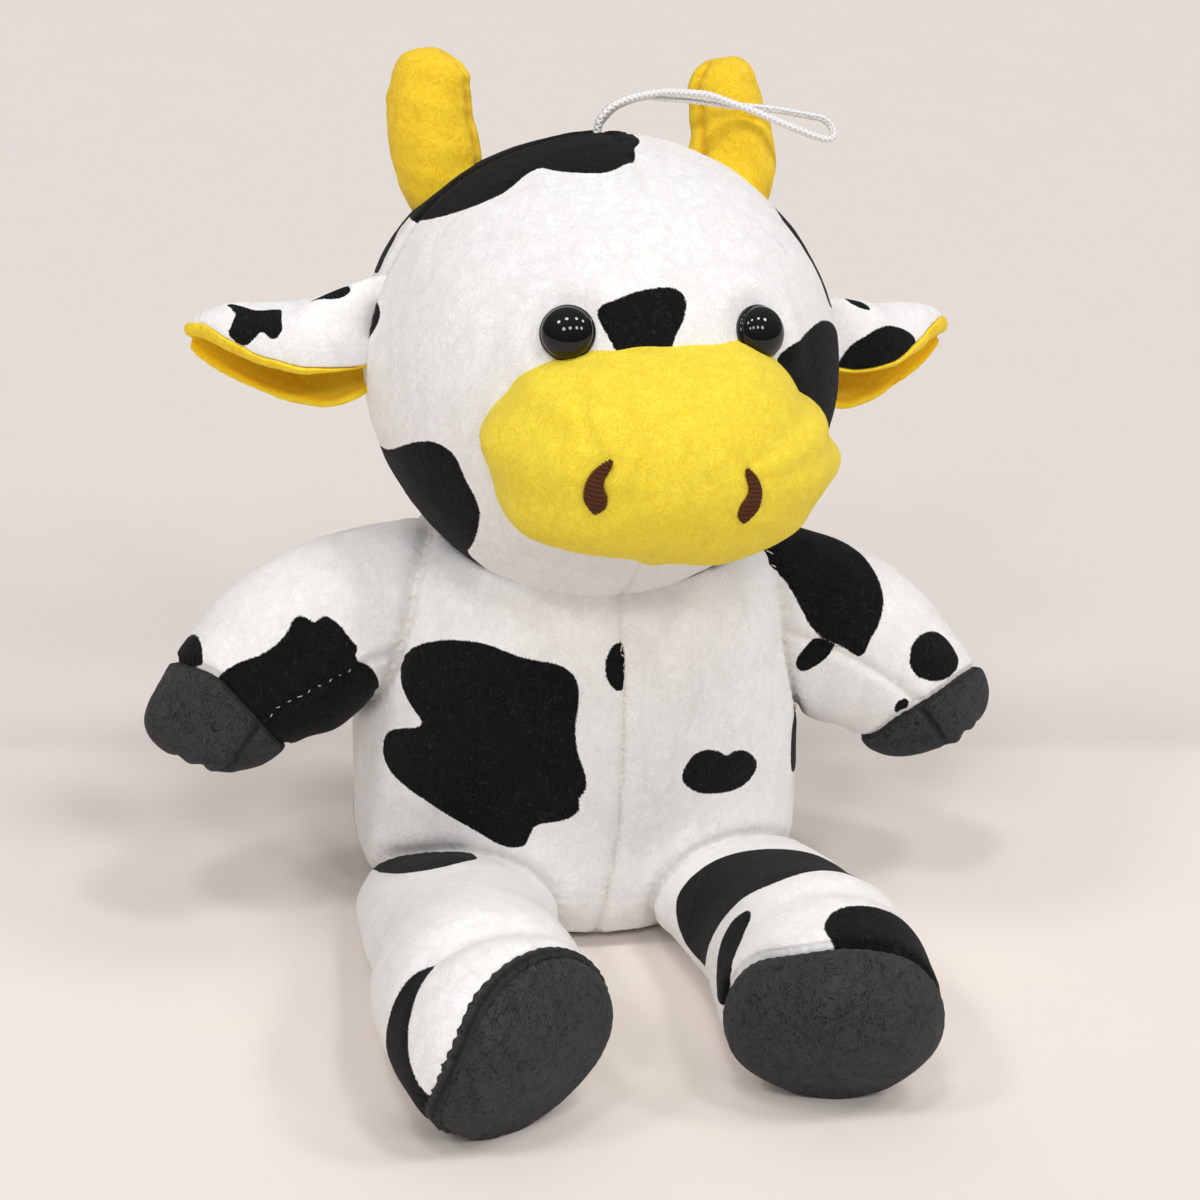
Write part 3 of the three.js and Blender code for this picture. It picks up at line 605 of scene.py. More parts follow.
# Body: a stuffed sack, flat where it sits, its top a seat for the head
BODY_RADII = (55.5, 43.5)
BODY_SIZES = [
    (-0.5, 0.72, 0.7), (1.5, 0.8, 0.785), (4, 0.88, 0.865), (9, 0.958, 0.94), (16, 0.992, 0.98), (27, 1, 1),
    (48, 0.985, 0.985), (66, 0.945, 0.935), (79, 0.895, 0.88), (89, 0.8, 0.795), (96, 0.63, 0.66),
    (99, 0.45, 0.5), (100, 0.2, 0.2),
]  # fmt: skip


def lean(level):
    """How far the body slumps to the cow's right at a level."""
    return -1.8 * step_up(level, 18, 60) * (1 - step_up(level, 84, 98))


def body_size(level):
    """Half width and half depth of the body at a level."""
    return smooth(level, BODY_SIZES, 1) * BODY_RADII[0], smooth(level, BODY_SIZES, 2) * BODY_RADII[1]


def body_at(turn, level):
    """Point of the body's surface; turn is 0 at the cow's left and -90 degrees in front."""
    wide, deep = body_size(level)
    return np.stack([wide * np.cos(turn) + lean(level), deep * np.sin(turn), level + 0 * turn], axis=-1)


def seat(x, y):
    """Level of the head's underside over a point."""
    inside = 1 - (x / HEAD_RADII[0]) ** 2 - (y / HEAD_RADII[1]) ** 2
    tall = HEAD_RADII[2] + 1.6 * step_up(-y, -10, 20)
    return np.where(inside > 0, HEAD_LEVEL - tall * np.sqrt(np.maximum(inside, 0)), 999.0)


FRONT_MIDDLE = -math.pi / 2
# Spots, by the distance round the body from its front's middle at this radius, and the level
BODY_CHART = 50
# How far the front's middle seam wanders to the cow's left, by its level
FRONT_SEAM = [(2, -2.4), (12, -1.8), (24, -0.3), (38, 1.2), (54, 2.2), (68, 2.3), (82, 1.4), (92, 0.5)]
BODY_FRONT_SPOTS = [
    [(-58, 68.9), (-51.9, 74.3), (-43.8, 77.4), (-33.4, 78.5), (-22.6, 75.9), (-15.1, 75.6), (-10.7, 72.6),
     (-9.8, 66.7), (-10.6, 60.6), (-9.8, 54.4), (-7.5, 48.3), (-7.5, 44.4), (-9, 42.6), (-8.4, 39.2),
     (-11.5, 36.6), (-18, 35.4), (-19, 32.1), (-19.9, 29.1), (-24.5, 28.5), (-30.3, 31.8), (-41.3, 35.6),
     (-54.7, 39.1), (-59.9, 42.6), (-60.6, 47.6), (-56.9, 51.4), (-45.7, 55.3), (-51.8, 59.4), (-56.4, 64.3)],
    [(0.3, 80.8), (-2.9, 79.7), (-4.4, 76.2), (-4, 71.9), (-1.9, 69.1), (0.5, 68.6)],
    [(13.9, 46.6), (16.3, 51.3), (20.5, 52), (24.8, 50), (26.4, 48.4), (29, 49.5), (34.1, 47.5),
     (36.9, 43.1), (33.8, 39.7), (28, 38.8), (19.4, 40.4), (14.7, 43.9)],
    [(-79, 8), (-78, 19), (-84, 26), (-95, 24), (-100, 14), (-92, 5)],
    [(55, 33), (55, 45), (62, 53), (74, 52), (80, 42), (70, 31)],
]  # fmt: skip
BODY_BACK_SPOTS = [
    [(112, 78), (128, 84), (142, 80), (147, 66), (139, 55), (141, 44), (130, 38), (118, 45), (110, 58)],
    [(84, 12), (96, 20), (106, 15), (104, 4), (88, 3)],
    [(-133, 72), (-122, 80), (-110, 74), (-112, 62), (-124, 58), (-132, 62)],
    [(-146, 36), (-132, 44), (-118, 38), (-116, 22), (-130, 12), (-144, 20)],
]  # fmt: skip


def body_seam(angle, start=2.0):
    """Line of the front's or the back's middle seam, from a level up."""
    levels = np.linspace(start, 92, 60)
    wander = smooth(levels, FRONT_SEAM) / BODY_RADII[0] * (angle == FRONT_MIDDLE)
    return body_at(angle + wander, levels)


def body():
    side_levels = np.linspace(0.4, 98.5, counted(96))
    under = [0, 0.25, 0.5, 0.72, 0.88, 0.96]
    levels = np.concatenate([np.full(len(under), 0.2), side_levels, [99.5, 100, 100]])
    shares = np.concatenate([under, np.ones(len(side_levels)), [0.8, 0.4, 0]])
    piece, ring, turn = ball("body_minky_cover", counted(288), len(levels) - 1)
    points = body_at(turn, levels[ring])
    points[:, :2] *= shares[ring][:, None]
    points[:, 2] += 1.6 * (1 - shares[ring] ** 2) * (levels[ring] < 1)
    points[:, 2] = np.minimum(points[:, 2], seat(points[:, 0], points[:, 1]) + 0.5)
    chart = np.stack([BODY_CHART * around(turn - FRONT_MIDDLE), points[:, 2]], axis=1)
    chart[:, 0] += 0.95 * lean(levels[ring])  # the spots slump with the body
    print_at = spots(chart, BODY_FRONT_SPOTS + BODY_BACK_SPOTS)
    base = body_at(np.linspace(-np.pi, np.pi, 120, endpoint=False), np.full(120, 2.2))
    seams = [
        (body_seam(FRONT_MIDDLE), False, 0.8, 1.1, 0.12, 2.4),
        (body_seam(-FRONT_MIDDLE), False, 0.8, 1.1, 0.12, 2.4),
        (base, True, 0.7, 1.2, 0.16, 2.6),
    ] + [(line, True, 1.2, 1.7, 0.3, 3.1) for line in LIMB_SEAMS]
    cloth(piece, points, seams, 0.7, print_at=print_at)
    finish(piece, "torso", ["body_cover", "body_stuffing"], WHITE)
    running("body_front_seam_stitches", piece, body_seam(FRONT_MIDDLE, 12)[:-4], "torso")


class Limb:
    """A stuffed tube round a spine. Its girth is a table of shares of a radius; the domed tip takes up its last
    length; seam_rows say where its end is sewn on; sag is where, how widely, at which turn and how far it hangs
    fuller; and rests is for one that lies on the table."""

    def __init__(self, spine, radius, tip, girth, seam_rows=((0, 0),), blunt=2.3, sag=None, rests=False):
        self.spine, self.radius, self.tip, self.girth = spine, radius, tip, girth
        self.blunt, self.sag, self.rests = blunt, sag, rests
        self.dome = spine.length - tip
        table = np.array(seam_rows, float)
        self.seam_rows = np.vstack([table - [2 * np.pi, 0], table, table + [2 * np.pi, 0]])
        self.seam_reach = float(table[:, 1].mean())

    def seam_at(self, turn):
        """Distance along the limb of the seam that its hoof or sole is sewn on by."""
        return smooth(turn, self.seam_rows)

    def to_seam(self, s, turn, share):
        """Distances of rings, slid so that those at the seam's mean lie along the seam itself."""
        before = step_up(s, self.seam_reach - 30, self.seam_reach)
        after = np.clip((self.spine.length - s) / (self.spine.length - self.seam_reach), 0, 1)
        return s + (self.seam_at(turn) - self.seam_reach) * share * np.where(s < self.seam_reach, before, after)

    def size(self, s):
        """Half width and half height at a distance along the limb."""
        wide = smooth(s / self.dome, self.girth, 1) * self.radius
        tall = smooth(s / self.dome, self.girth, 2) * self.radius
        t = np.clip((s - self.dome) / self.tip, 0, 1)
        shrink = (1 - t**self.blunt) ** 0.5
        return wide * shrink, tall * shrink

    def point(self, s, turn, share=1.0):
        centre, along, side, over = self.spine.at(s)
        wide, tall = self.size(s)
        if self.sag:
            at, spread, middle, depth = self.sag
            fuller = 1 + depth / self.radius * hill(s - at, spread) * np.maximum(np.cos(turn - middle), 0) ** 1.3
            wide, tall = wide * fuller, tall * fuller
        found = about(centre, side, over, wide * share, tall * share, turn)
        if self.rests:
            # the underside settles on the floor, rounded
            reach = tall * np.sqrt(1 - along[..., 2] ** 2)
            settle = np.clip((centre[..., 2] - 0.1) / np.maximum(reach, 0.1), 0, 1)
            under = np.maximum(centre[..., 2] - found[..., 2], 0)
            found[..., 2] += under * (1 - settle)
        return found

    def meets(self, inside, stop):
        """Loop of points where the limb's surface leaves a form that inside() describes."""
        loop = []
        steps = np.linspace(0, stop, 240)
        for turn in np.linspace(-np.pi, np.pi, 96, endpoint=False):
            line = self.point(steps, np.full(len(steps), turn))
            hidden = np.flatnonzero(inside(line))
            if len(hidden) and hidden[-1] + 1 < len(line):
                loop.append(line[hidden[-1]])
        return np.array(loop)

    def line(self, start, stop, turn, count=40):
        """Line along the limb at one turn round it."""
        return self.point(np.linspace(start, stop, count), np.full(count, turn))

    def seam(self, count=110):
        """The seam that its hoof or sole is sewn on by."""
        turn = np.linspace(-np.pi, np.pi, count, endpoint=False)
        return self.point(self.seam_at(turn), turn)

    def to_tip(self, start, gap, steps):
        """Stations from a start to the dome, and on round it in steps to the tip."""
        domed = np.sin(rows(0, 1, 1 / steps) * np.pi / 2)
        return np.concatenate([rows(start, self.dome, gap), self.dome + domed[1:] * self.tip])


def tube(name, sides, limb, reach, share):
    """A limb's piece through stations along it, each with its share of the girth."""
    piece, ring, turn = ball(name, counted(sides), len(reach) - 1)
    share = share[ring]
    s = limb.to_seam(reach[ring], turn, share)
    return piece, s, turn, limb.point(s, turn, share)


# Girth of each limb: how far along it, and its half width and half height there, as shares of its radius
ARM_GIRTH = [
    (0, 0.98, 0.98), (0.3, 1.03, 1.0), (0.5, 1.07, 1.03), (0.72, 1.0, 0.97), (0.88, 0.89, 0.89), (1, 0.87, 0.87),
]  # fmt: skip
LEG_GIRTH = [
    (0, 0.7, 0.42), (0.2, 0.95, 0.5), (0.42, 0.94, 0.68), (0.62, 0.88, 0.8), (0.8, 0.98, 0.97),
    (0.93, 1, 1), (1, 1, 1),
]  # fmt: skip
TOWARDS_VIEWER, UPWARDS = (0.0, -1.0, 0.0), (0.0, 0.0, 1.0)
ARM_ROOT, LEG_ROOT = (27.75, 6.09, 76.5), (31.08, -8.7, 5.0)
# The seams of the hooves and soles: how far along the limb they lie at each turn round it
ARM_SEAMS = {
    "left": [(-2.6, 66.5), (-1.6, 68), (-0.6, 69.5), (0, 68.5), (0.8, 65), (1.7, 63), (2.1, 62.4), (2.8, 65)],
    "right": [(-2.6, 69), (-1.6, 71), (-0.6, 71), (0.5, 70), (1.35, 66.5), (1.8, 65.2), (2.2, 64.7), (2.9, 67)],
}
LEG_SEAMS = {
    "left": [
        (-2.6, 97), (-1.6, 102), (-0.8, 104.5), (0, 104), (0.8, 104), (1.6, 105), (2.1, 103.6),
        (2.5, 99.2), (3, 96.6),
    ],
    "right": [
        (-2.6, 113), (-1.6, 109.5), (-0.8, 106), (0, 104.5), (0.8, 106.2), (1.4, 109), (1.9, 111.5),
        (2.4, 114), (3, 115),
    ],
}  # fmt: skip
# Each limb's length, yaw and tilt to its bend and beyond it; each arm's end, blunter or rounder, and its sag
ARM_BENDS = {"left": (50, -14, -5, 38, -20, -65), "right": (58, -14, 5, 42, -14, -72)}
ARM_BLUNT = {"left": 3, "right": 3.2}
ARM_SAGS = {"left": (50, 25, math.pi, 6.5), "right": (54, 24, 0.1, 7.5)}
LEG_BENDS = {"left": (95, -85, 15, 27, -105, -32), "right": (96, -78, 14.5, 31, -121, -19)}
ARMS, LEGS = {}, {}
for side, sign in SIGNS.items():
    ARMS[side] = Limb(
        bent(ARM_ROOT, ARM_BENDS[side], sign, TOWARDS_VIEWER), 17.2, 11,
        ARM_GIRTH, ARM_SEAMS[side], ARM_BLUNT[side], ARM_SAGS[side],
    )  # fmt: skip
    LEGS[side] = Limb(bent(LEG_ROOT, LEG_BENDS[side], sign, UPWARDS), 24.4, 12, LEG_GIRTH, LEG_SEAMS[side], rests=True)


def in_body(points):
    level = np.clip(points[..., 2], 0, 99.9)
    wide, deep = body_size(level)
    return ((points[..., 0] - lean(level)) / wide) ** 2 + (points[..., 1] / deep) ** 2 < 1


ARM_LOOPS = {side: limb.meets(in_body, 60) for side, limb in ARMS.items()}
LEG_LOOPS = {side: limb.meets(in_body, 80) for side, limb in LEGS.items()}
LIMB_SEAMS = list(ARM_LOOPS.values()) + list(LEG_LOOPS.values())
body()


LIP = 1.4  # how far the cloth turns in where a sleeve and its hoof or sole meet


def lip(start, stop):
    """Angles round a turned-in edge, and the edge's share of the limb's girth at each."""
    curl = np.linspace(start, stop, 7) * np.pi / 2
    return curl, 1 - 0.11 * (1 - np.cos(curl))


def sleeve(kind, side, limb, body, start, chart_radius, printed, seams, sides, relief=None):
    """The printed part of a limb, closed inside its hoof or sole by a turned-in end."""
    end = limb.seam_reach
    run = rows(start, end - LIP, 1.1)
    curl, drawn_in = lip(0.15, 1)
    reach = np.concatenate([[start, start], run, end - LIP + LIP * np.sin(curl), [end - 0.2, end - 0.6]])
    share = np.concatenate([[0, 0.6], np.ones(len(run)), drawn_in, [0.6, 0]])
    name = f"{kind}_{side}"
    piece, s, turn, points = tube(f"{name}_printed_sleeve", sides, limb, reach, share)
    if relief is not None:
        points = relief(points, s, turn)
    chart = np.stack([s, chart_radius * turn], axis=1)
    print_at = spots(chart, printed, wrap=2 * np.pi * chart_radius)
    cloth(piece, points, seams, 0.45, print_at=print_at)
    return finish(piece, body, [f"{name}_sleeve", f"{name}_stuffing"], WHITE)


def charcoal_end(name, limb, body, node, sides, seams, relief=None):
    """The hoof or the sole of a limb, closed inside the sleeve by a turned-in edge."""
    start = limb.seam_reach
    run = limb.to_tip(start + LIP, 0.9, 22)
    curl, drawn_in = lip(1, 0.15)
    reach = np.concatenate([[start + 0.5, start + 0.3], start + LIP * (1 - np.sin(curl)), run])
    share = np.concatenate([[0, 0.6], drawn_in, np.ones(len(run))])
    piece, s, turn, points = tube(name, sides, limb, reach, share)
    if relief is not None:
        points = relief(points, s, turn)
    cloth(piece, points, seams, 0.3)
    finish(piece, body, [node], CHARCOAL)


ARM_SPOTS = {
    "right": [
        [(68, 37.5), (63.8, 36.4), (60.5, 35.4), (56.3, 33.1), (52.9, 32.8), (49.5, 33.9), (47.2, 36), (45.4, 35.8),
         (43.9, 32.6), (41.8, 34), (39.6, 31), (38.4, 26.6), (37.2, 24.4), (39.6, 22.6), (35.4, 19.6),
         (33, 13), (34, 0),
         (42, -10), (60, -14), (76, -10), (78, 20)],
        [(74, 57), (68.5, 50), (65.3, 41.3), (62.7, 45), (62, 51.4), (64.3, 57.6), (70, 62)],
    ],
    "left": [
        [(12, 2), (19.3, -4), (27.3, -3), (33, 1), (36.1, 5), (39, 9.1), (41.4, 13.2), (42.7, 18.8), (42.7, 22.7),
         (43.7, 27.4), (39, 26.9), (31.6, 26.4), (28.2, 24.9), (24.9, 22), (21.7, 18.8), (17, 14.5), (13, 12)],
        [(31.5, 35.7), (29.2, 34.5), (29.4, 30), (31.1, 26.8), (36.5, 26.6), (35.9, 30.4), (34.2, 33.4), (33, 34.7)],
        [(53.8, 11.2), (51.8, 14.6), (51.4, 18.6), (53.6, 22.2), (56.9, 23.5), (60.8, 21.5), (63, 17.6), (63.4, 12.5),
         (61.7, 9.3), (58.4, 8.4), (55.6, 9.5)],
        [(58.3, 31.2), (58.8, 29.4), (60.6, 28.9), (61.8, 31), (61.6, 33.4), (59.6, 33.2)],
        [(40, -30), (50, -26), (56, -36), (48, -44), (39, -40)],
    ],
}  # fmt: skip


ARM_SEAM_TURN = {"left": 1.7, "right": 1.25}
# Where the ends of the hooves were gathered: how far off the limb's middle line, and at which turn
GATHERS = {"left": (5.0, 0.9), "right": (2.5, 1.9)}
# Pleats that run out of each pucker: their heading, width and depth
PLEATS = [(-2.7, 0.22, 1.0), (-1.5, 0.3, 0.7), (-0.3, 0.2, 1.1), (0.7, 0.28, 0.8), (1.5, 0.18, 1.2), (2.4, 0.26, 0.9)]


def arm(side):
    limb, sign, seam_turn = ARMS[side], SIGNS[side], ARM_SEAM_TURN[side]
    rides = ("torso", f"arm_{side}", (sign * 44, 2, 84), (sign * 58, -2, 78))
    end = limb.seam_at(seam_turn)
    cuff = (limb.seam(), True, 0.7, 1.2, 0.22, 2.6)
    arm_seams = [
        (ARM_LOOPS[side], True, 1.2, 1.7, 0.35, 3.1),
        cuff,
        (limb.line(24, end, seam_turn), False, 0.8, 1.0, 0.16, 3.4),
    ]
    sewn = sleeve("arm", side, limb, rides, 8, 16.5, ARM_SPOTS[side], arm_seams, 112)
    if side == "right":
        running("arm_right_seam_stitches", sewn, limb.line(40, end - 1, seam_turn), "arm_right", 2.7, 0.75, 0.1)

    def gathered(points, s, turn):
        """A squared end, gathered into a pucker with pleats running out of it."""
        off, at_turn = GATHERS[side]
        centre, along, side_way, over = limb.spine.at(s)
        out = points - centre
        square = 1 + 0.05 * np.cos(4 * turn + 0.6) * step_up(s, limb.seam_reach, limb.dome)
        across = np.sum(out * side_way, axis=1) - off * math.cos(at_turn)
        up = np.sum(out * over, axis=1) - off * math.sin(at_turn)
        away, heading_out = np.hypot(across, up), np.arctan2(up, across)
        ending = step_up(s, limb.dome - 1, limb.spine.length - 1)
        pleat = sum(depth * hill(around(heading_out - at), wide + 0.5 / (1 + away)) for at, wide, depth in PLEATS)
        dip = 4.2 * hill(away, 3.4) + 1.1 * pleat * hill(away - 6, 5) * step_up(away, 0.5, 3)
        return centre + out * square[:, None] - along * (dip * ending)[:, None]

    end_seam = (limb.line(end, limb.spine.length - 3, seam_turn), False, 0.9, 1.0, 0.12, 3.0)
    name = f"arm_{side}_charcoal_hoof"
    charcoal_end(name, limb, f"arm_{side}", f"arm_{side}_hoof", 112, [cuff, end_seam], gathered)


for side in SIGNS:
    arm(side)

LEG_SPOTS = {
    "right": [
        [(16, 60), (23.5, 56), (34, 53.5), (44, 50.5), (50, 46.5), (53.4, 42), (53.4, 38.5),
         (51.3, 35.5), (45.5, 30.5),
         (36, 31.5), (29.5, 34.1), (26, 40), (20, 42), (12, 50)],
        [(101, 48.8), (98.6, 54.4), (98.4, 61.6), (98.6, 67.9), (97.7, 75.1), (98, 92), (118, 94),
         (119, 80), (115.5, 74),
         (111.5, 69.5), (108, 65.3), (105.6, 60.2), (103, 53.7)],
        [(70, -34), (84, -28), (92, -36), (86, -48), (74, -46)],
    ],
    "left": [
        [(48.5, 67.3), (45.5, 62), (45.8, 55.3), (47.2, 46.3), (51.8, 35.4), (56, 24), (60, 12), (66, 2), (76, -6),
         (84, 2), (80, 16), (77.7, 30.1), (80.5, 42.8), (77.4, 52.8), (75.3, 62.2), (72, 73), (56, 76)],
        [(85.4, 49.5), (81.4, 55.4), (83.5, 62.3), (90.8, 70), (97.4, 70), (95.7, 59.4)],
        [(101.1, 39.1), (97.2, 36.4), (95.4, 31.5), (93.4, 21.7), (91.5, 12), (95, 2), (111, -2),
         (112, 14), (111, 31),
         (105, 37.5)],
    ],
}  # fmt: skip
# The crease across the top of each foot: distance along the leg, turn, spread and depth as a share of the radius
CREASES = {"left": (88.0, 1.3, 0.8, 0.05), "right": (99.5, 1.85, 0.7, 0.09)}


def leg(side):
    limb, sign = LEGS[side], SIGNS[side]
    rides = ("torso", f"leg_{side}", (sign * 36, -38, 22), (sign * 37, -56, 22))
    leg_seams = [
        (LEG_LOOPS[side], True, 1.2, 1.7, 0.25, 3.1),
        (limb.seam(150), True, 0.9, 1.4, 0.18, 2.9),
        (limb.line(30, limb.seam_reach, -math.pi / 2), False, 0.5, 1.0, 0.06, 2.4),
    ]

    def footed(points, s, turn):
        """The foot bulges up over a crease across its top."""
        at, middle, spread, depth = CREASES[side]
        top = hill(around(turn - middle), spread)
        fold = depth * hill(s - at, 3.0) - 0.45 * depth * hill(s - at - 7, 4.0) - 0.2 * depth * hill(s - at + 9, 6.0)
        centre, _, _, _ = limb.spine.at(s)
        return centre + (points - centre) * (1 - fold * top)[:, None]

    sleeve("leg", side, limb, rides, 17, 22, LEG_SPOTS[side], leg_seams, 150, footed)
    sole_seam = (limb.seam(150), True, 0.9, 1.5, 0.16, 2.9)
    charcoal_end(f"leg_{side}_charcoal_sole", limb, f"leg_{side}", f"leg_{side}_sole", 132, [sole_seam])


for side in SIGNS:
    leg(side)

# Head: a slightly flattened ball with furrows along its panels' seams and a dimple round each eye
EYE_AT = (22.0, 23.2)


def on_face(x, z):
    """Point on the front of the head and the way out of it, in the head's frame."""
    y = -HEAD_RADII[0] * math.sqrt(1 - (x / HEAD_RADII[0]) ** 2 - (z / HEAD_RADII[2]) ** 2)
    point = np.array([x, y, z])
    return point, unit(point / HEAD_RADII**2)


# Spots of the head lie on two charts, flat round the front's and the back's middle, at this radius
HEAD_CHART = 54
HEAD_FRONT_SPOTS = [
    [(-114, 78), (-92, 66), (-76, 53.5), (-68.6, 53.8), (-57, 56.1), (-46.1, 60.3), (-39.2, 63.8), (-32.9, 71.1),
     (-29.5, 73.1), (-24.6, 70.7), (-18.3, 69.5), (-9, 69.2), (-3.1, 72.6), (0.9, 75.5), (2.3, 81.1),
     (6.9, 85.3), (9, 91), (10, 108),
     (-20, 124), (-70, 112), (-104, 90)],
    [(-112, 36), (-88, 30), (-85, 40), (-82.5, 48), (-86, 54), (-92, 60), (-97, 69), (-101, 78), (-107, 78)],
    [(50, 56), (54.4, 49.5), (57.5, 41.8), (59.3, 36), (60, 30), (61.5, 26), (72, 24), (80, 36), (72, 54), (60, 64)],
    [(-88, 23.6), (-83.5, 23.4), (-79.8, 21.2), (-80.2, 16.1), (-83, 11), (-88, 6), (-96, 3), (-98, 14)],
    [(-16.6, 29.8), (-15.7, 31.8), (-12, 33.2), (-7.6, 35.4), (-3.1, 36.4), (1.5, 36.8), (4.4, 35.1), (4.6, 31.9),
     (3.2, 28.4), (0.9, 25), (-1, 17), (-10, 17), (-13.4, 24), (-14.8, 26.4)],
    [(-79, -32), (-74.2, -29), (-61.7, -14.4), (-54.6, -9.6), (-50, -9.6), (-47.1, -11.4),
     (-44, -17.1), (-41.2, -21.1),
     (-39.3, -25.6), (-39.4, -33.6), (-40.3, -41.7), (-41.8, -47), (-38, -52), (-32, -58), (-25, -64), (-24, -71),
     (-45.9, -74), (-66, -60), (-84, -44)],
    [(45.3, 24.3), (50, 24.8), (56, 23.6), (61.7, 20.6), (66.9, 15), (71, 8), (74, -8), (64, -18), (48.3, -8.3),
     (37.3, 4.1), (28, 12), (27, 19), (32.4, 21.2), (36.2, 21.9), (40.6, 23.3)],
    [(22, -55), (25.5, -60.5), (30, -61.5), (43.3, -53), (52, -40), (46, -32), (34, -42)],
]  # fmt: skip
HEAD_BACK_SPOTS = [
    [(-30, 40), (-12, 50), (10, 46), (18, 34), (8, 22), (-8, 24), (-22, 18), (-34, 28)],
    [(34, -8), (48, 2), (60, -6), (58, -26), (44, -34), (34, -22)],
    [(-58, -20), (-44, -12), (-36, -24), (-42, -40), (-56, -38)],
    [(-4, -30), (8, -26), (12, -38), (2, -46), (-8, -40)],
    [(48, 44), (60, 40), (66, 26), (54, 22), (44, 32)],
]  # fmt: skip


def head_line(directions):
    """Points of the head's surface along directions from its middle."""
    return head_place(unit(np.array(directions, float)) * HEAD_RADII)


def arc(centre_turn, start, stop):
    """Line over the head in the upright plane that faces a turn."""
    t = np.radians(np.linspace(start, stop, 60))
    flat = np.array([math.cos(centre_turn), math.sin(centre_turn), 0.0])
    return head_line(np.cos(t)[:, None] * flat + np.sin(t)[:, None] * np.array([0, 0, 1.0]))


def on_face_chart(places):
    """Points of the head's surface from places on the front chart."""
    found = []
    for u, v in places:
        off, face = math.hypot(u, v) / HEAD_CHART, math.atan2(v, u)
        way = np.array([math.sin(off) * math.cos(face), -math.cos(off), math.sin(off) * math.sin(face)])
        found.append(way * HEAD_RADII)
    return np.array(found)


def head():
    rings = counted(152)
    piece, ring, turn = ball("head_minky_cover", counted(300), rings)
    lift = np.pi * (ring / rings - 0.5)
    way = np.stack([np.cos(lift) * np.cos(turn), np.cos(lift) * np.sin(turn), np.sin(lift)], axis=1)
    local = way * HEAD_RADII
    points = head_place(local)
    off = np.arccos(np.clip(-way[:, 1], -1, 1))
    face = np.arctan2(way[:, 2], way[:, 0])
    front = HEAD_CHART * off[:, None] * np.stack([np.cos(face), np.sin(face)], axis=1)
    back = HEAD_CHART * (np.pi - off)[:, None] * np.stack([-np.cos(face), np.sin(face)], axis=1)
    print_at = np.minimum(spots(front, HEAD_FRONT_SPOTS), spots(back, HEAD_BACK_SPOTS))
    relief = np.zeros(len(points))
    for x in (EYE_AT[0], -EYE_AT[0]):
        point, _ = on_face(x, EYE_AT[1])
        gap = np.linalg.norm(local - point, axis=1)
        relief += 0.9 * hill(gap - 11.5, 3.6) - 0.5 * hill(gap, 7)
    # the filling stands fuller under the chin and at the crown's right side
    for direction, height, width in [((-0.27, -0.45, -0.85), 2.8, 32), ((-0.81, 0.39, 0.41), 2.2, 26)]:
        away = HEAD_CHART * np.arccos(np.clip(way @ unit(np.array(direction)), -1, 1))
        relief += height * hill(away, width)
    over_crown = np.linspace(-0.9, math.pi + 0.9, 90)
    coronal = [(math.cos(t), 0.04 + 0.2 * max(math.sin(t), 0) ** 2, math.sin(t)) for t in over_crown]
    pinch = head_place(on_face_chart([(0.5, 75.5), (0, 69.4), (1, 65)]))
    middle = arc(FRONT_MIDDLE, -88, -22)
    behind = arc(-FRONT_MIDDLE, -70, 88)
    seams = [
        (head_line(coronal), False, 0.8, 1.1, 0.14, 2.6),
        (middle, False, 0.35, 1.0, 0.05, 2.4),
        (behind, False, 0.6, 1.0, 0.1, 2.4),
        (pinch, False, 0.7, 1.6, 0.0, 2.4),
    ]
    cloth(piece, points, seams, 0.55, relief, print_at, floor=False)
    nodes = ["head_cover", "head_stuffing", "eye_washer_left", "eye_washer_right"]
    finish(piece, "head", nodes, WHITE)


head()

# Muzzle: a stuffed pillow of lemon minky with turned points at its sides and below
MUZZLE_CENTRE = np.array([1.9, -45.0, -3.4])
MUZZLE_RADII = np.array([41.5, 28.0, 26.0])
MUZZLE_ROLL = np.array(turned_about(3, "Y"))


def muzzle_place(points):
    """Points of the muzzle's own frame, in the part's frame."""
    return head_place(points @ MUZZLE_ROLL.T + MUZZLE_CENTRE)


# How far the muzzle's outline lies from an oval, by the angle from the cow's left, counted upwards
MUZZLE_OUTLINE = [
    (-180, 0.985), (-168, 0.972), (-156, 0.98), (-144, 1.048), (-132, 1.101), (-120, 1.066), (-108, 1.021),
    (-96, 0.994), (-84, 1.02), (-72, 1.07), (-60, 1.066), (-48, 1.049), (-36, 1.035), (-24, 0.984),
    (-12, 0.976), (0, 0.969),
    (12, 0.94), (24, 0.965), (36, 0.91), (48, 0.957), (60, 1.018), (72, 1.068), (84, 1.031), (96, 1.0),
    (108, 1.006), (120, 1.004), (132, 1.004), (144, 1.008), (156, 0.966), (168, 0.97),
]  # fmt: skip


# Its turned points and, less than 0, the pinch by its dart: direction, height and width
MUZZLE_POINTS = [
    ((1, -0.05, -0.07), 2.4, 5.5), ((-1, -0.1, 0.06), 0.9, 6), ((-0.02, -0.25, -1), 1.2, 4),
    ((-0.78, -0.25, -0.6), 0.6, 5), ((-0.62, -0.5, 0.66), -0.9, 4),
]  # fmt: skip


def side_seam(span):
    """Line round one side of the muzzle."""
    ways = [[math.cos(t), -math.sin(t) * 0.5, -0.07 * abs(math.cos(t))] for t in span]
    return muzzle_place(unit(np.array(ways)) * MUZZLE_RADII)


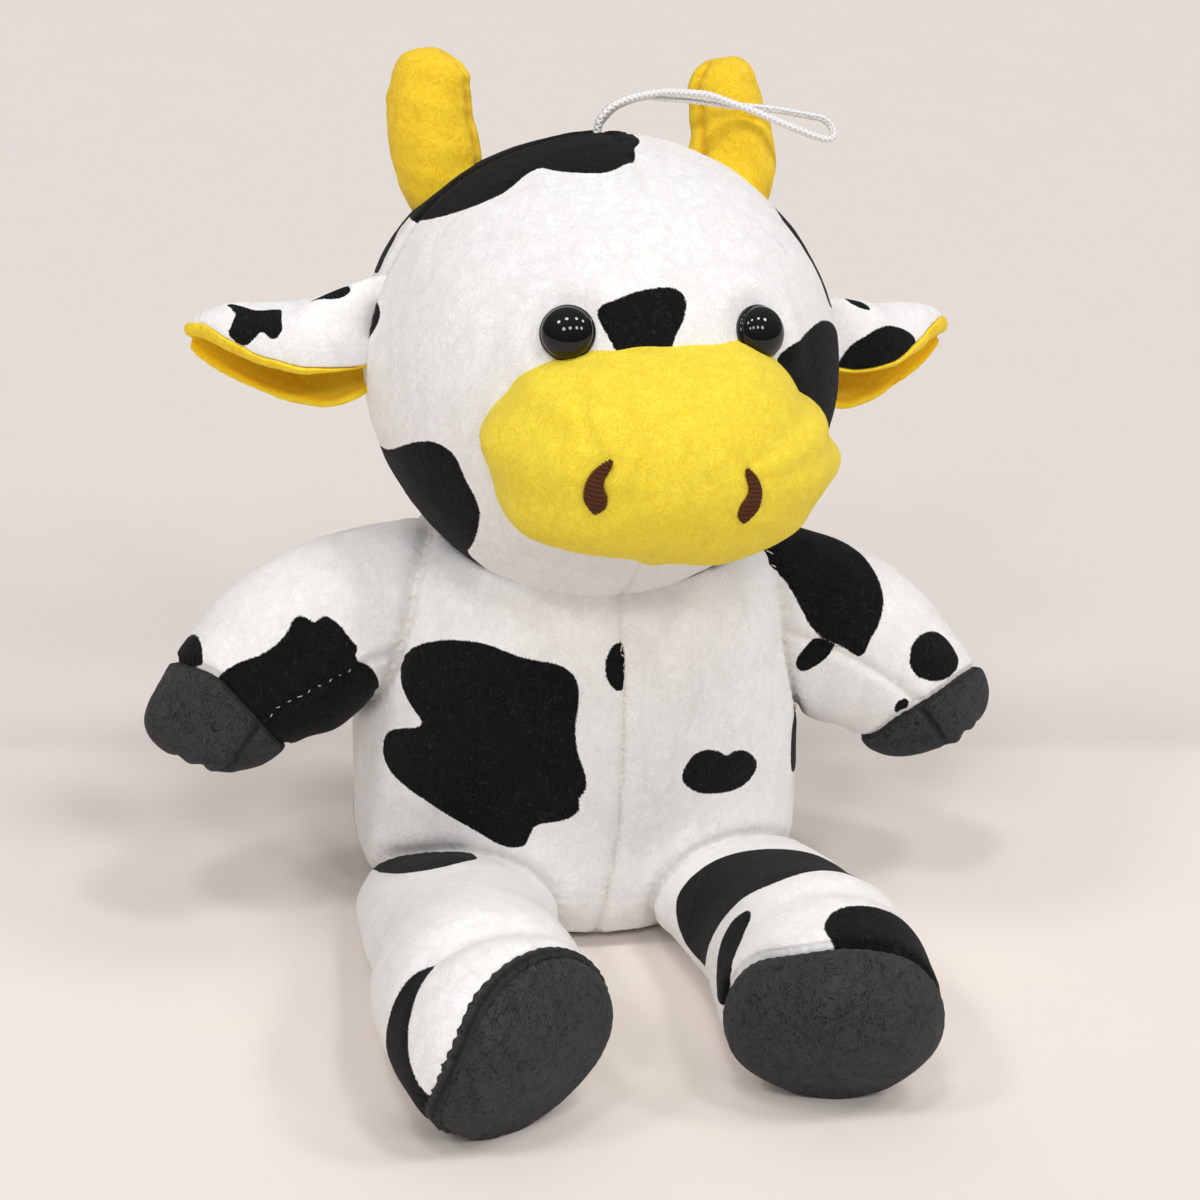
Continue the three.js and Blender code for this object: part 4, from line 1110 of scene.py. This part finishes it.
def muzzle():
    rings = counted(124)
    piece, ring, turn = ball("muzzle_lemon_minky", counted(232), rings)
    lift = np.pi * (ring / rings - 0.5)
    # its poles lie to the front and back, so that no ring crowds at a side
    way = np.stack([np.cos(lift) * np.cos(turn), -np.sin(lift), np.cos(lift) * np.sin(turn)], axis=1)
    table = np.array(MUZZLE_OUTLINE)
    table = np.vstack([table - [360, 0], table, table + [360, 0]])
    swell = smooth(np.degrees(turn), table)[:, None]
    local = way * MUZZLE_RADII * np.concatenate([swell, np.ones_like(swell), swell], axis=1)
    relief = np.zeros(len(local))
    for direction, height, width in MUZZLE_POINTS:
        peak = unit(np.array(direction, float)) * MUZZLE_RADII
        relief += height * hill(np.linalg.norm(local - peak, axis=1), width)
    spans = (np.linspace(-0.3, 0.2, 30), np.linspace(math.pi - 0.2, math.pi + 0.3, 30))
    dart = muzzle_place(np.array([(-27, -14, 19), (-25.5, -17, 15.5), (-25, -20, 12), (-24.5, -22, 9)], float))
    seams = [(side_seam(span), False, 0.4, 1.0, 0.15, 2.4) for span in spans]
    seams.append((dart, False, 0.9, 1.5, 0.0, 2.4))
    cloth(piece, muzzle_place(local), seams, 0.75, relief, floor=False)
    finish(piece, "head", ["muzzle_cover", "muzzle_stuffing"], LEMON)


muzzle()


# Nostrils: satin stitches side by side across a comma, whose thin upper end leans towards the other nostril
NOSTRIL_WIDTH, NOSTRIL_HEIGHT = 5.6, 12.6
# Between the two, and how far their middle lies to the cow's right of the muzzle's and below it
NOSTRIL_SPREAD, NOSTRIL_OFFSET, NOSTRIL_DROP = 34.6, 3.9, 1.0
# A nostril's level and its inner and outer edge there, as shares of its height and width
NOSTRIL_ROWS = [
    (0.5, -0.46, -0.3), (0.42, -0.456, -0.06), (0.34, -0.4, 0.12), (0.22, -0.28, 0.31), (0.1, -0.235, 0.43),
    (-0.02, -0.31, 0.485), (-0.14, -0.456, 0.5), (-0.26, -0.5, 0.47), (-0.38, -0.456, 0.32), (-0.46, -0.31, 0.13),
    (-0.5, -0.2, 0),
]  # fmt: skip


def nostril(side):
    sign = SIGNS[side]
    table = sorted(NOSTRIL_ROWS)
    threads = []
    for k, level in enumerate(np.linspace(-0.49, 0.49, 25)):
        ends = []
        for column in (1, 2):
            across = sign * float(smooth(level, table, column)) * NOSTRIL_WIDTH
            x = across + sign * NOSTRIL_SPREAD / 2 - NOSTRIL_OFFSET
            z = level * NOSTRIL_HEIGHT - NOSTRIL_DROP + (0.25 if column == 2 else -0.15)
            y = -MUZZLE_RADII[1] * math.sqrt(1 - (x / MUZZLE_RADII[0]) ** 2 - (z / MUZZLE_RADII[2]) ** 2)
            ends.append(np.array([x, y - 0.15, z]))
        out = unit((ends[0] + ends[1]) / 2 / MUZZLE_RADII**2)
        first, last = muzzle_place(np.array(ends))
        turned_out = muzzle_place(out[None])[0] - muzzle_place(np.zeros((1, 3)))[0]
        threads.append((first, last, turned_out, 0.36, 0.6 if k % 2 else 0.4))
    stitches(f"nostril_{side}_satin_stitches", threads, "head", SATIN, [f"nostril_{side}"])


# Eyes: a polished dome on a narrow rim
def eye(side):
    point, out = on_face(SIGNS[side] * EYE_AT[0], EYE_AT[1])
    dome = np.linspace(0, np.pi / 2, 14)
    radius = np.concatenate([[0, 3, 5.8, 6.15, 6.25, 6.2, 5.95], 5.85 * np.cos(dome)])
    height = np.concatenate([[-0.9, -0.9, -0.9, -0.6, 0.2, 0.75, 0.95], 1.0 + 3.9 * np.sin(dome)])
    piece, ring, turn = ball(f"eye_{side}_polished_dome", counted(64) * 2, len(radius) - 1)
    side_way = unit(np.cross((0, 0, 1), out))
    over = np.cross(out, side_way)
    r = radius[ring]
    place(piece, head_place(about(point + out * height[ring][:, None], side_way, over, r, r, turn)))
    finish(piece, "head", [f"eye_{side}"], EYE)


# Horns: stuffed fingers that bow outwards, with a seam along the outer side
HORN_GIRTHS = {
    "left": [
        (0, 0.84, 0.84), (0.25, 0.95, 0.95), (0.5, 0.97, 0.97), (0.7, 0.89, 0.92), (0.86, 0.83, 0.88),
        (1, 0.79, 0.84),
    ],
    "right": [
        (0, 0.84, 0.84), (0.25, 0.92, 0.93), (0.55, 0.96, 0.98), (0.8, 0.92, 0.94), (0.92, 0.9, 0.92),
        (1, 0.87, 0.89),
    ],
}  # fmt: skip
HEAD_SIZES = (111, 111, 106)
HORN_ROOT = (0.3 * HEAD_SIZES[0], 0.17 * HEAD_SIZES[1], 0.29 * HEAD_SIZES[2])
HORN_BENDS = {"left": (20, 64, 58, 19, 160, 63), "right": (21, 46, 54, 19, 140, 74)}
HORN_SEAM_TURN = {"left": 0.5, "right": math.pi - 0.55}


def horn(side):
    spine = bent(HORN_ROOT, HORN_BENDS[side], SIGNS[side], TOWARDS_VIEWER)
    limb = Limb(spine, 10.6, 8, HORN_GIRTHS[side])
    run = limb.to_tip(-6, 0.8, 16)
    reach = np.concatenate([[-6, -6], run])
    share = np.concatenate([[0, 0.6], np.ones(len(run))])
    piece, _, _, points = tube(f"horn_{side}_lemon_minky", 92, limb, reach, share)
    outer = HORN_SEAM_TURN[side]
    line = limb.line(-4, spine.length - 0.5, outer)
    back = limb.line(-4, spine.length - 0.5, outer + math.pi)
    wrinkles = 0.45 * lumps(points * [0.6, 0.6, 1.4], 7, 6) + 0.5 * lumps(points, 12, 7)
    seams = [(head_place(line), False, 1.0, 1.2, 0.3, 4.6), (head_place(back), False, 0.7, 1.1, 0.25, 5.2)]
    cloth(piece, head_place(points), seams, 0.4, wrinkles, floor=False)
    finish(piece, "head", [f"horn_{side}_cover", f"horn_{side}_stuffing"], AMBER)


# Ears: an outer leaf and a lining, folded together into a scoop, the lining rolled over the edge
EAR_GIRTH = [
    (-0.4, 0.8), (-0.14, 0.95), (0.3, 1), (0.55, 0.9), (0.77, 0.69), (0.92, 0.44), (1, 0.24), (1.04, 0.05),
]  # fmt: skip
EAR_REACH_FORWARD, EAR_REACH_UP, EAR_RADIUS = 12.5, 14, 13.2  # of the scoop, and their mean
# Spots, by the distance along an ear of this length and the angle round it, of this many millimetres a degree
EAR_CHART, EAR_DEGREE = 47, 0.23
# Angle of the scoop's front edge round the ear's axis, by the share of its length
EAR_EDGE = {
    "left": [(-0.4, -14), (0, -10), (0.18, -2), (0.33, 13), (0.44, 28), (0.66, 46), (0.9, 63), (1.04, 71)],
    "right": [(-0.4, -36), (0, -30), (0.12, -20), (0.22, -8), (0.4, 6), (0.6, 18), (0.8, 38), (0.95, 60), (1.04, 70)],
}
EAR_BACK_EDGE = 286.0
# The ear is pinched at its root: shares of its reach forwards, up and down, by the share of its length
EAR_PINCH = [
    (-0.4, 0.1, 0.9, 0.5), (-0.1, 0.14, 1.0, 0.6), (0, 0.24, 1.02, 0.72), (0.12, 0.5, 0.98, 0.86),
    (0.28, 0.84, 0.88, 0.98), (0.45, 1, 0.75, 1), (0.7, 1, 0.8, 1), (0.9, 1, 0.98, 1), (1.04, 1, 1, 1),
]  # fmt: skip
EAR_TIP_RISE = 4.0
EAR_ROLLED = 0.14  # share of the lining that rolls over at the front edge
# How far behind and below its own line the ear's root is sewn in
EAR_ROOT_BACK = {"left": 1.5, "right": 9.5}
EAR_ROOT_DROP = {"left": 4.5, "right": 2.2}
EAR_LENGTH = {"left": 43.5, "right": 45.5}
EAR_AXIS = heading(33, -14)
EAR_AT = (-3, 6.5)  # forwards and up from the middle of the head's side
EAR_ROLL = math.radians(8)
EAR_OUT = HEAD_RADII[0] * math.sqrt(1 - (EAR_AT[0] / HEAD_RADII[1]) ** 2 - (EAR_AT[1] / HEAD_RADII[2]) ** 2)
EAR_START = np.array([EAR_OUT, *EAR_AT])
EAR_UP = unit(np.array([0, 0, 1.0]) - EAR_AXIS * EAR_AXIS[2])
EAR_UP = EAR_UP * math.cos(EAR_ROLL) + np.cross(EAR_AXIS, EAR_UP) * math.sin(EAR_ROLL)
EAR_FRONT = np.cross(EAR_AXIS, EAR_UP)
EAR_SPOTS = {
    "right": [
        [(36.2, 100.3), (32.3, 89.8), (28.6, 81.2), (26.2, 80.5), (23.6, 81.7), (21.5, 81),
         (20.6, 73.8), (19.9, 59.8),
         (19.2, 48.9), (19.6, 43.3), (20.6, 36.8), (21.5, 36), (22.8, 39.2), (23.6, 43.4), (24.3, 46.1), (25.3, 42.6),
         (26.3, 35), (27.8, 26.3), (29.4, 22.1), (31.5, 25.9), (33.1, 32.5), (33.6, 39.8), (33, 49.7), (32.6, 68.9),
         (33.9, 77.6), (36.5, 92.6)],
        [(14.9, 84.9), (12.7, 88.5), (10.2, 93.5), (7.5, 96), (6.3, 89.8), (5.7, 77.9), (6.2, 68.5), (7.5, 66.6),
         (9.3, 71.4), (11, 78.8), (12.3, 83.3)],
        [(20, 150), (28, 160), (32, 190), (26, 215), (18, 200), (14, 170)],
        [(4, 170), (9, 190), (7, 230), (1, 240), (-2, 200)],
    ],
    "left": [
        [(12, 51.7), (9.5, 45), (8, 38), (6, 29.7), (3.8, 17.8), (2.5, -12), (8.4, -12), (15.5, 2), (21.3, 20),
         (22.6, 38), (20.6, 48.1), (18.4, 53.3), (15.6, 54), (13, 53.8)],
        [(1.5, 96), (2.5, 80), (5.4, 72), (8.5, 70), (9.5, 76), (8, 92)],
        [(16, 140), (26, 150), (34, 175), (30, 205), (20, 200), (12, 170)],
        [(0, 180), (6, 200), (5, 240), (-2, 250), (-5, 210)],
    ],
}  # fmt: skip


def leaf(name, rows_count, columns, form):
    """A sheet laid on a form of two shares, along and across."""
    mesh = bpy.data.meshes.new(name)
    bm = bmesh.new()
    bmesh.ops.create_grid(bm, x_segments=rows_count, y_segments=columns, size=1)
    bm.to_mesh(mesh)
    bm.free()
    piece = linked(name, mesh)
    grid = read(mesh)
    u, v = (grid[:, 0] + 1) / 2, (grid[:, 1] + 1) / 2
    points = form(u, v)
    place(piece, points)
    return piece, u, v, points


def ear(side):
    mirror = np.array([[SIGNS[side], 1, 1]])

    def scoop(along, angle, inset):
        """Points of the folded ear, an inset within its outside."""
        girth = smooth(along, EAR_GIRTH)
        rooted = 1 - step_up(along, -0.05, 0.35)
        forward, up, down = (smooth(along, EAR_PINCH, k) for k in (1, 2, 3))
        front = EAR_REACH_FORWARD * girth * np.where(np.cos(angle) > 0, forward, 1 - 0.35 * rooted)
        tall = EAR_REACH_UP * girth * np.where(np.sin(angle) > 0, up, down)
        rise = EAR_TIP_RISE * np.clip(along, 0, 2) ** 2 + np.maximum(tall - inset, 0.2) * np.sin(angle)
        rise = rise - EAR_ROOT_DROP[side] * (1 - step_up(along, 0, 0.8))
        local = (
            EAR_START
            + EAR_AXIS * (along * EAR_LENGTH[side])[:, None]
            + EAR_UP * rise[:, None]
            + EAR_FRONT * (np.maximum(front - inset, 0.2) * np.cos(angle) - EAR_ROOT_BACK[side] * rooted)[:, None]
        )
        return head_place(local * mirror)

    def waves(along, length):
        """Angle of a wave of a length along the ear."""
        return 2 * np.pi * along * EAR_CHART / length

    def lies(u):
        """How far along the ear a place of the sheet lies, its girth and the angles of its two edges."""
        along = -0.38 + 1.39 * np.sin(u * np.pi / 2) ** 0.9
        wave = 0.12 * np.sin(waves(along, 9.3)) + 0.06 * np.sin(waves(along, 4.1) + 1)
        girth = EAR_RADIUS * smooth(along, EAR_GIRTH)
        low = np.radians(smooth(along, EAR_EDGE[side])) + wave / girth
        high = math.radians(EAR_BACK_EDGE) - wave / girth
        return along, girth, low, high

    def outer(u, v):
        along, _, low, high = lies(u)
        return scoop(along, low + (high - low) * v, 0.75)

    def lining(u, v):
        """Lies inside the outer leaf; each edge rolls out over the leaf's own in a bead."""
        along, girth, low, high = lies(u)
        behind = v > 0.5
        bead = np.minimum(2.3, 0.3 * girth) * (0.1 + 0.9 * step_up(along, 0.1, 0.7))
        bead = bead * np.where(behind, 0.3, 1)
        turn = np.pi * np.clip(np.minimum(v, 1 - v) / np.where(behind, 0.36, EAR_ROLLED), 0, 1)
        angle = low + (high - low) * np.clip((v - EAR_ROLLED) / 0.72, 0, 1)
        angle = angle + np.where(behind, 1, -1) * 1.5 * bead * np.sin(turn) / girth
        return scoop(along, angle, 0.2 + np.maximum(bead, 1.25) * (1 - np.cos(turn)))

    start = head_place((EAR_START - EAR_AXIS * 2) * mirror)[0]
    end = head_place((EAR_START + EAR_AXIS * 9) * mirror)[0]
    for kind, form in (("outer", outer), ("lining", lining)):
        lined = kind == "lining"
        piece, u, v, points = leaf(f"ear_{side}_minky_{kind}", counted(84), counted(132 if lined else 110), form)
        along, girth, low, high = lies(u)
        rim = np.minimum(v, 1 - v) * (high - low) * girth
        push = 0.35 * lumps(points, 11, 4) + 0.08 * lumps(points, UNEVEN, 5)
        push += 0.07 * np.cos(waves(along, 2.4)) * hill(rim, 3)
        place(piece, points + normals(piece) * push[:, None])
        chart = np.stack([along * EAR_CHART, EAR_DEGREE * np.degrees(low + (high - low) * v)], axis=1)
        printed = [] if lined else [[(a, t * EAR_DEGREE) for a, t in outline] for outline in EAR_SPOTS[side]]
        note(piece, "spot", spots(chart, printed))
        # distance from the leaf's edges, and on the lining from its fold, which the materials read to paint shade
        # there
        note(piece, "seam", np.abs(rim - EAR_ROLLED * (high - low) * girth) if lined else rim)
        note(piece, "lay", points @ np.array([[1, 0, 0], [0, 0, 1], [0, 1, 0]]))
        solid = piece.modifiers.new("cloth", "SOLIDIFY")
        solid.thickness = 1.5 * MM
        solid.offset = 0
        solid.use_rim = True
        soft = piece.modifiers.new("soft", "SUBSURF")
        soft.levels = soft.render_levels = 1
        slot, material = ("yellow_minky", EAR_YELLOW) if lined else ("white_minky", WHITE)
        finish(piece, ("head", f"ear_{side}", start, end), [f"ear_{side}_{kind}"], material)


for make in (nostril, eye, horn, ear):
    for side in SIGNS:
        make(side)

# Tail: a thin stuffed tube with a black tuft pulled over its end
TAIL_ROOT = (0, 0.9975 * BODY_RADII[1] + 4.7, 21)
TAIL_BENDS = (20, 90, -22, 38, 66, -11)
TUFT_LENGTH, TUFT_OVERLAP = 29, 6


def tail():
    limb = Limb(bent(TAIL_ROOT, TAIL_BENDS, 1, UPWARDS), 4.4, 4, [(0, 1, 1), (0.5, 0.95, 0.95), (1, 0.92, 0.92)])
    run = limb.to_tip(-4, 0.8, 8)
    reach = np.concatenate([[-4.3, -4.2], run])
    share = np.concatenate([[0, 0.7], np.ones(len(run))])
    piece, _, _, points = tube("tail_minky_tube", 40, limb, reach, share)
    cloth(piece, points, [(limb.line(-4, limb.dome, -0.6, 30), False, 0.4, 0.9, 0.1, 2.4)], 0.25)
    finish(piece, ("torso", "tail", (0, 44, 21), (0, 52, 18)), ["tail_cover"], WHITE)
    end, along, _, _ = limb.spine.at(np.array([limb.spine.length]))
    mouth = end[0] - along[0] * TUFT_OVERLAP
    line = [mouth + along[0] * t for t in np.linspace(0, TUFT_LENGTH, 40)]
    girth = [(0, 0.72, 0.72), (0.3, 0.9, 0.9), (0.7, 1, 1), (1, 0.98, 0.98)]
    tuft = Limb(Spine(line, UPWARDS), 8, 8, girth)
    run = tuft.to_tip(0, 0.8, 12)
    reach = np.concatenate([[1.0, 0.4], run])
    share = np.concatenate([[0, 0.7], np.ones(len(run))])
    piece, s, turn, points = tube("tail_black_tuft", 56, tuft, reach, share)
    strands = 0.5 * np.cos(9 * turn + 1.2 * np.sin(s / 5)) * step_up(s, 2, 14)
    cloth(piece, points, [], 0.3, strands)
    finish(piece, "tail", ["tail_tuft"], BLACK)


tail()


# Hand-sewn joins: ivory ladder stitches where the arms were closed on to the body
def ladder(side):
    loop, limb = ARM_LOOPS[side], ARMS[side]
    middles, ways, _, _ = limb.spine.at(np.array([25.0]))
    centre, along = middles[0], ways[0]
    threads = []
    walked, due = 0.0, 0.0
    for a, b in zip(loop, np.roll(loop, -1, axis=0)):
        length = float(np.linalg.norm(b - a))
        while due < walked + length:
            point = a + (b - a) * (due - walked) / max(length, 1e-9)
            out = unit(point - centre - along * ((point - centre) @ along))
            across = unit(along + 0.25 * unit(b - a) * math.sin(due * 1.7))
            half = 0.8 + 0.25 * math.sin(due * 2.3)
            middle = point + out * 0.35
            threads.append((middle - across * half, middle + across * half, out, 0.12, 0.2))
            due += 4.3 + 0.8 * math.sin(due * 0.9)
        walked += length
    stitches(f"arm_{side}_ladder_stitches", threads, "torso", IVORY)


for side in SIGNS:
    ladder(side)

# Lights: rows of ceiling lamps above and before the cow, in a room that is paler above
scene = bpy.context.scene
scene.view_settings.view_transform = "Standard"
world = bpy.data.worlds.new("soft_room")
world.use_nodes = True
sky = world.node_tree
upwards = add(sky, "SeparateXYZ", {"Vector": add(sky, "TexCoord").outputs["Generated"]})
glow = add(sky, "MapRange", {"Value": upwards.outputs["Z"], "To Min": 0.16, "To Max": 0.45})
sky.nodes["Background"].inputs["Color"].default_value = colour("#fdfbf9")
# the room behind the table is bright to the camera alone, so it lights the cow no more
seen = add(sky, "LightPath").outputs["Is Camera Ray"]
backdrop = add(sky, "MapRange", {"Value": seen, "To Min": 0.0, "To Max": 0.9})
brighter = add(sky, "Math", {0: glow.outputs[0], 1: backdrop.outputs[0]}, operation="MAXIMUM")
sky.links.new(brighter.outputs[0], sky.nodes["Background"].inputs["Strength"])
scene.world = world

for row, (away, energy) in enumerate(((-1.6, 0.277), (-0.4, 0.428))):
    for column, across in enumerate((-1.2, -0.4, 0.4, 1.2)):
        lamp = bpy.data.lights.new(f"ceiling_lamp_{row}_{column}", "SUN")
        lamp.energy = energy
        lamp.angle = math.radians(9)
        item = linked(lamp.name, lamp)
        item.rotation_euler = Vector((-across, -away, -1.5)).to_track_quat("-Z", "Y").to_euler()

# Floor: a pale table up to its far edge, and the pale wall's tone beyond it
EDGE_FROM, EDGE_TO = (-136.7, 82.7), (187.8, 47.4)


def floor():
    mesh = bpy.data.meshes.new("floor")
    bm = bmesh.new()
    bmesh.ops.create_grid(bm, x_segments=2, y_segments=2, size=4)
    bm.to_mesh(mesh)
    bm.free()
    plane = linked("floor", mesh)
    material, tree = fresh("pale_table_and_wall")
    place_at = add(tree, "TexCoord").outputs["Object"]
    run = unit(np.array(EDGE_TO) - np.array(EDGE_FROM))
    across = (-run[1], run[0], 0.0)
    past = add(tree, "VectorMath", {0: place_at, 1: across}, operation="DOT_PRODUCT")
    level = float(np.dot(across[:2], EDGE_FROM)) * MM
    edge = {"Value": past.outputs["Value"], "From Min": level - 0.004, "From Max": level + 0.005}
    share = add(tree, "MapRange", edge)
    tones = {"Factor": share.outputs[0], "A": colour("#f0e7e0"), "B": colour("#e4dcd6")}
    tone = add(tree, "Mix", tones, data_type="RGBA").outputs["Result"]
    grain = add(tree, "TexNoise", {"Vector": place_at, "Scale": 30.0, "Detail": 3.0})
    grained = {"Factor": 0.03, "A": tone, "B": grain.outputs["Color"]}
    soft = add(tree, "Mix", grained, data_type="RGBA")
    surface(tree, {"Base Color": soft.outputs["Result"], "Roughness": 0.7, "Specular IOR Level": 0.2})
    mesh.materials.append(material)


floor()
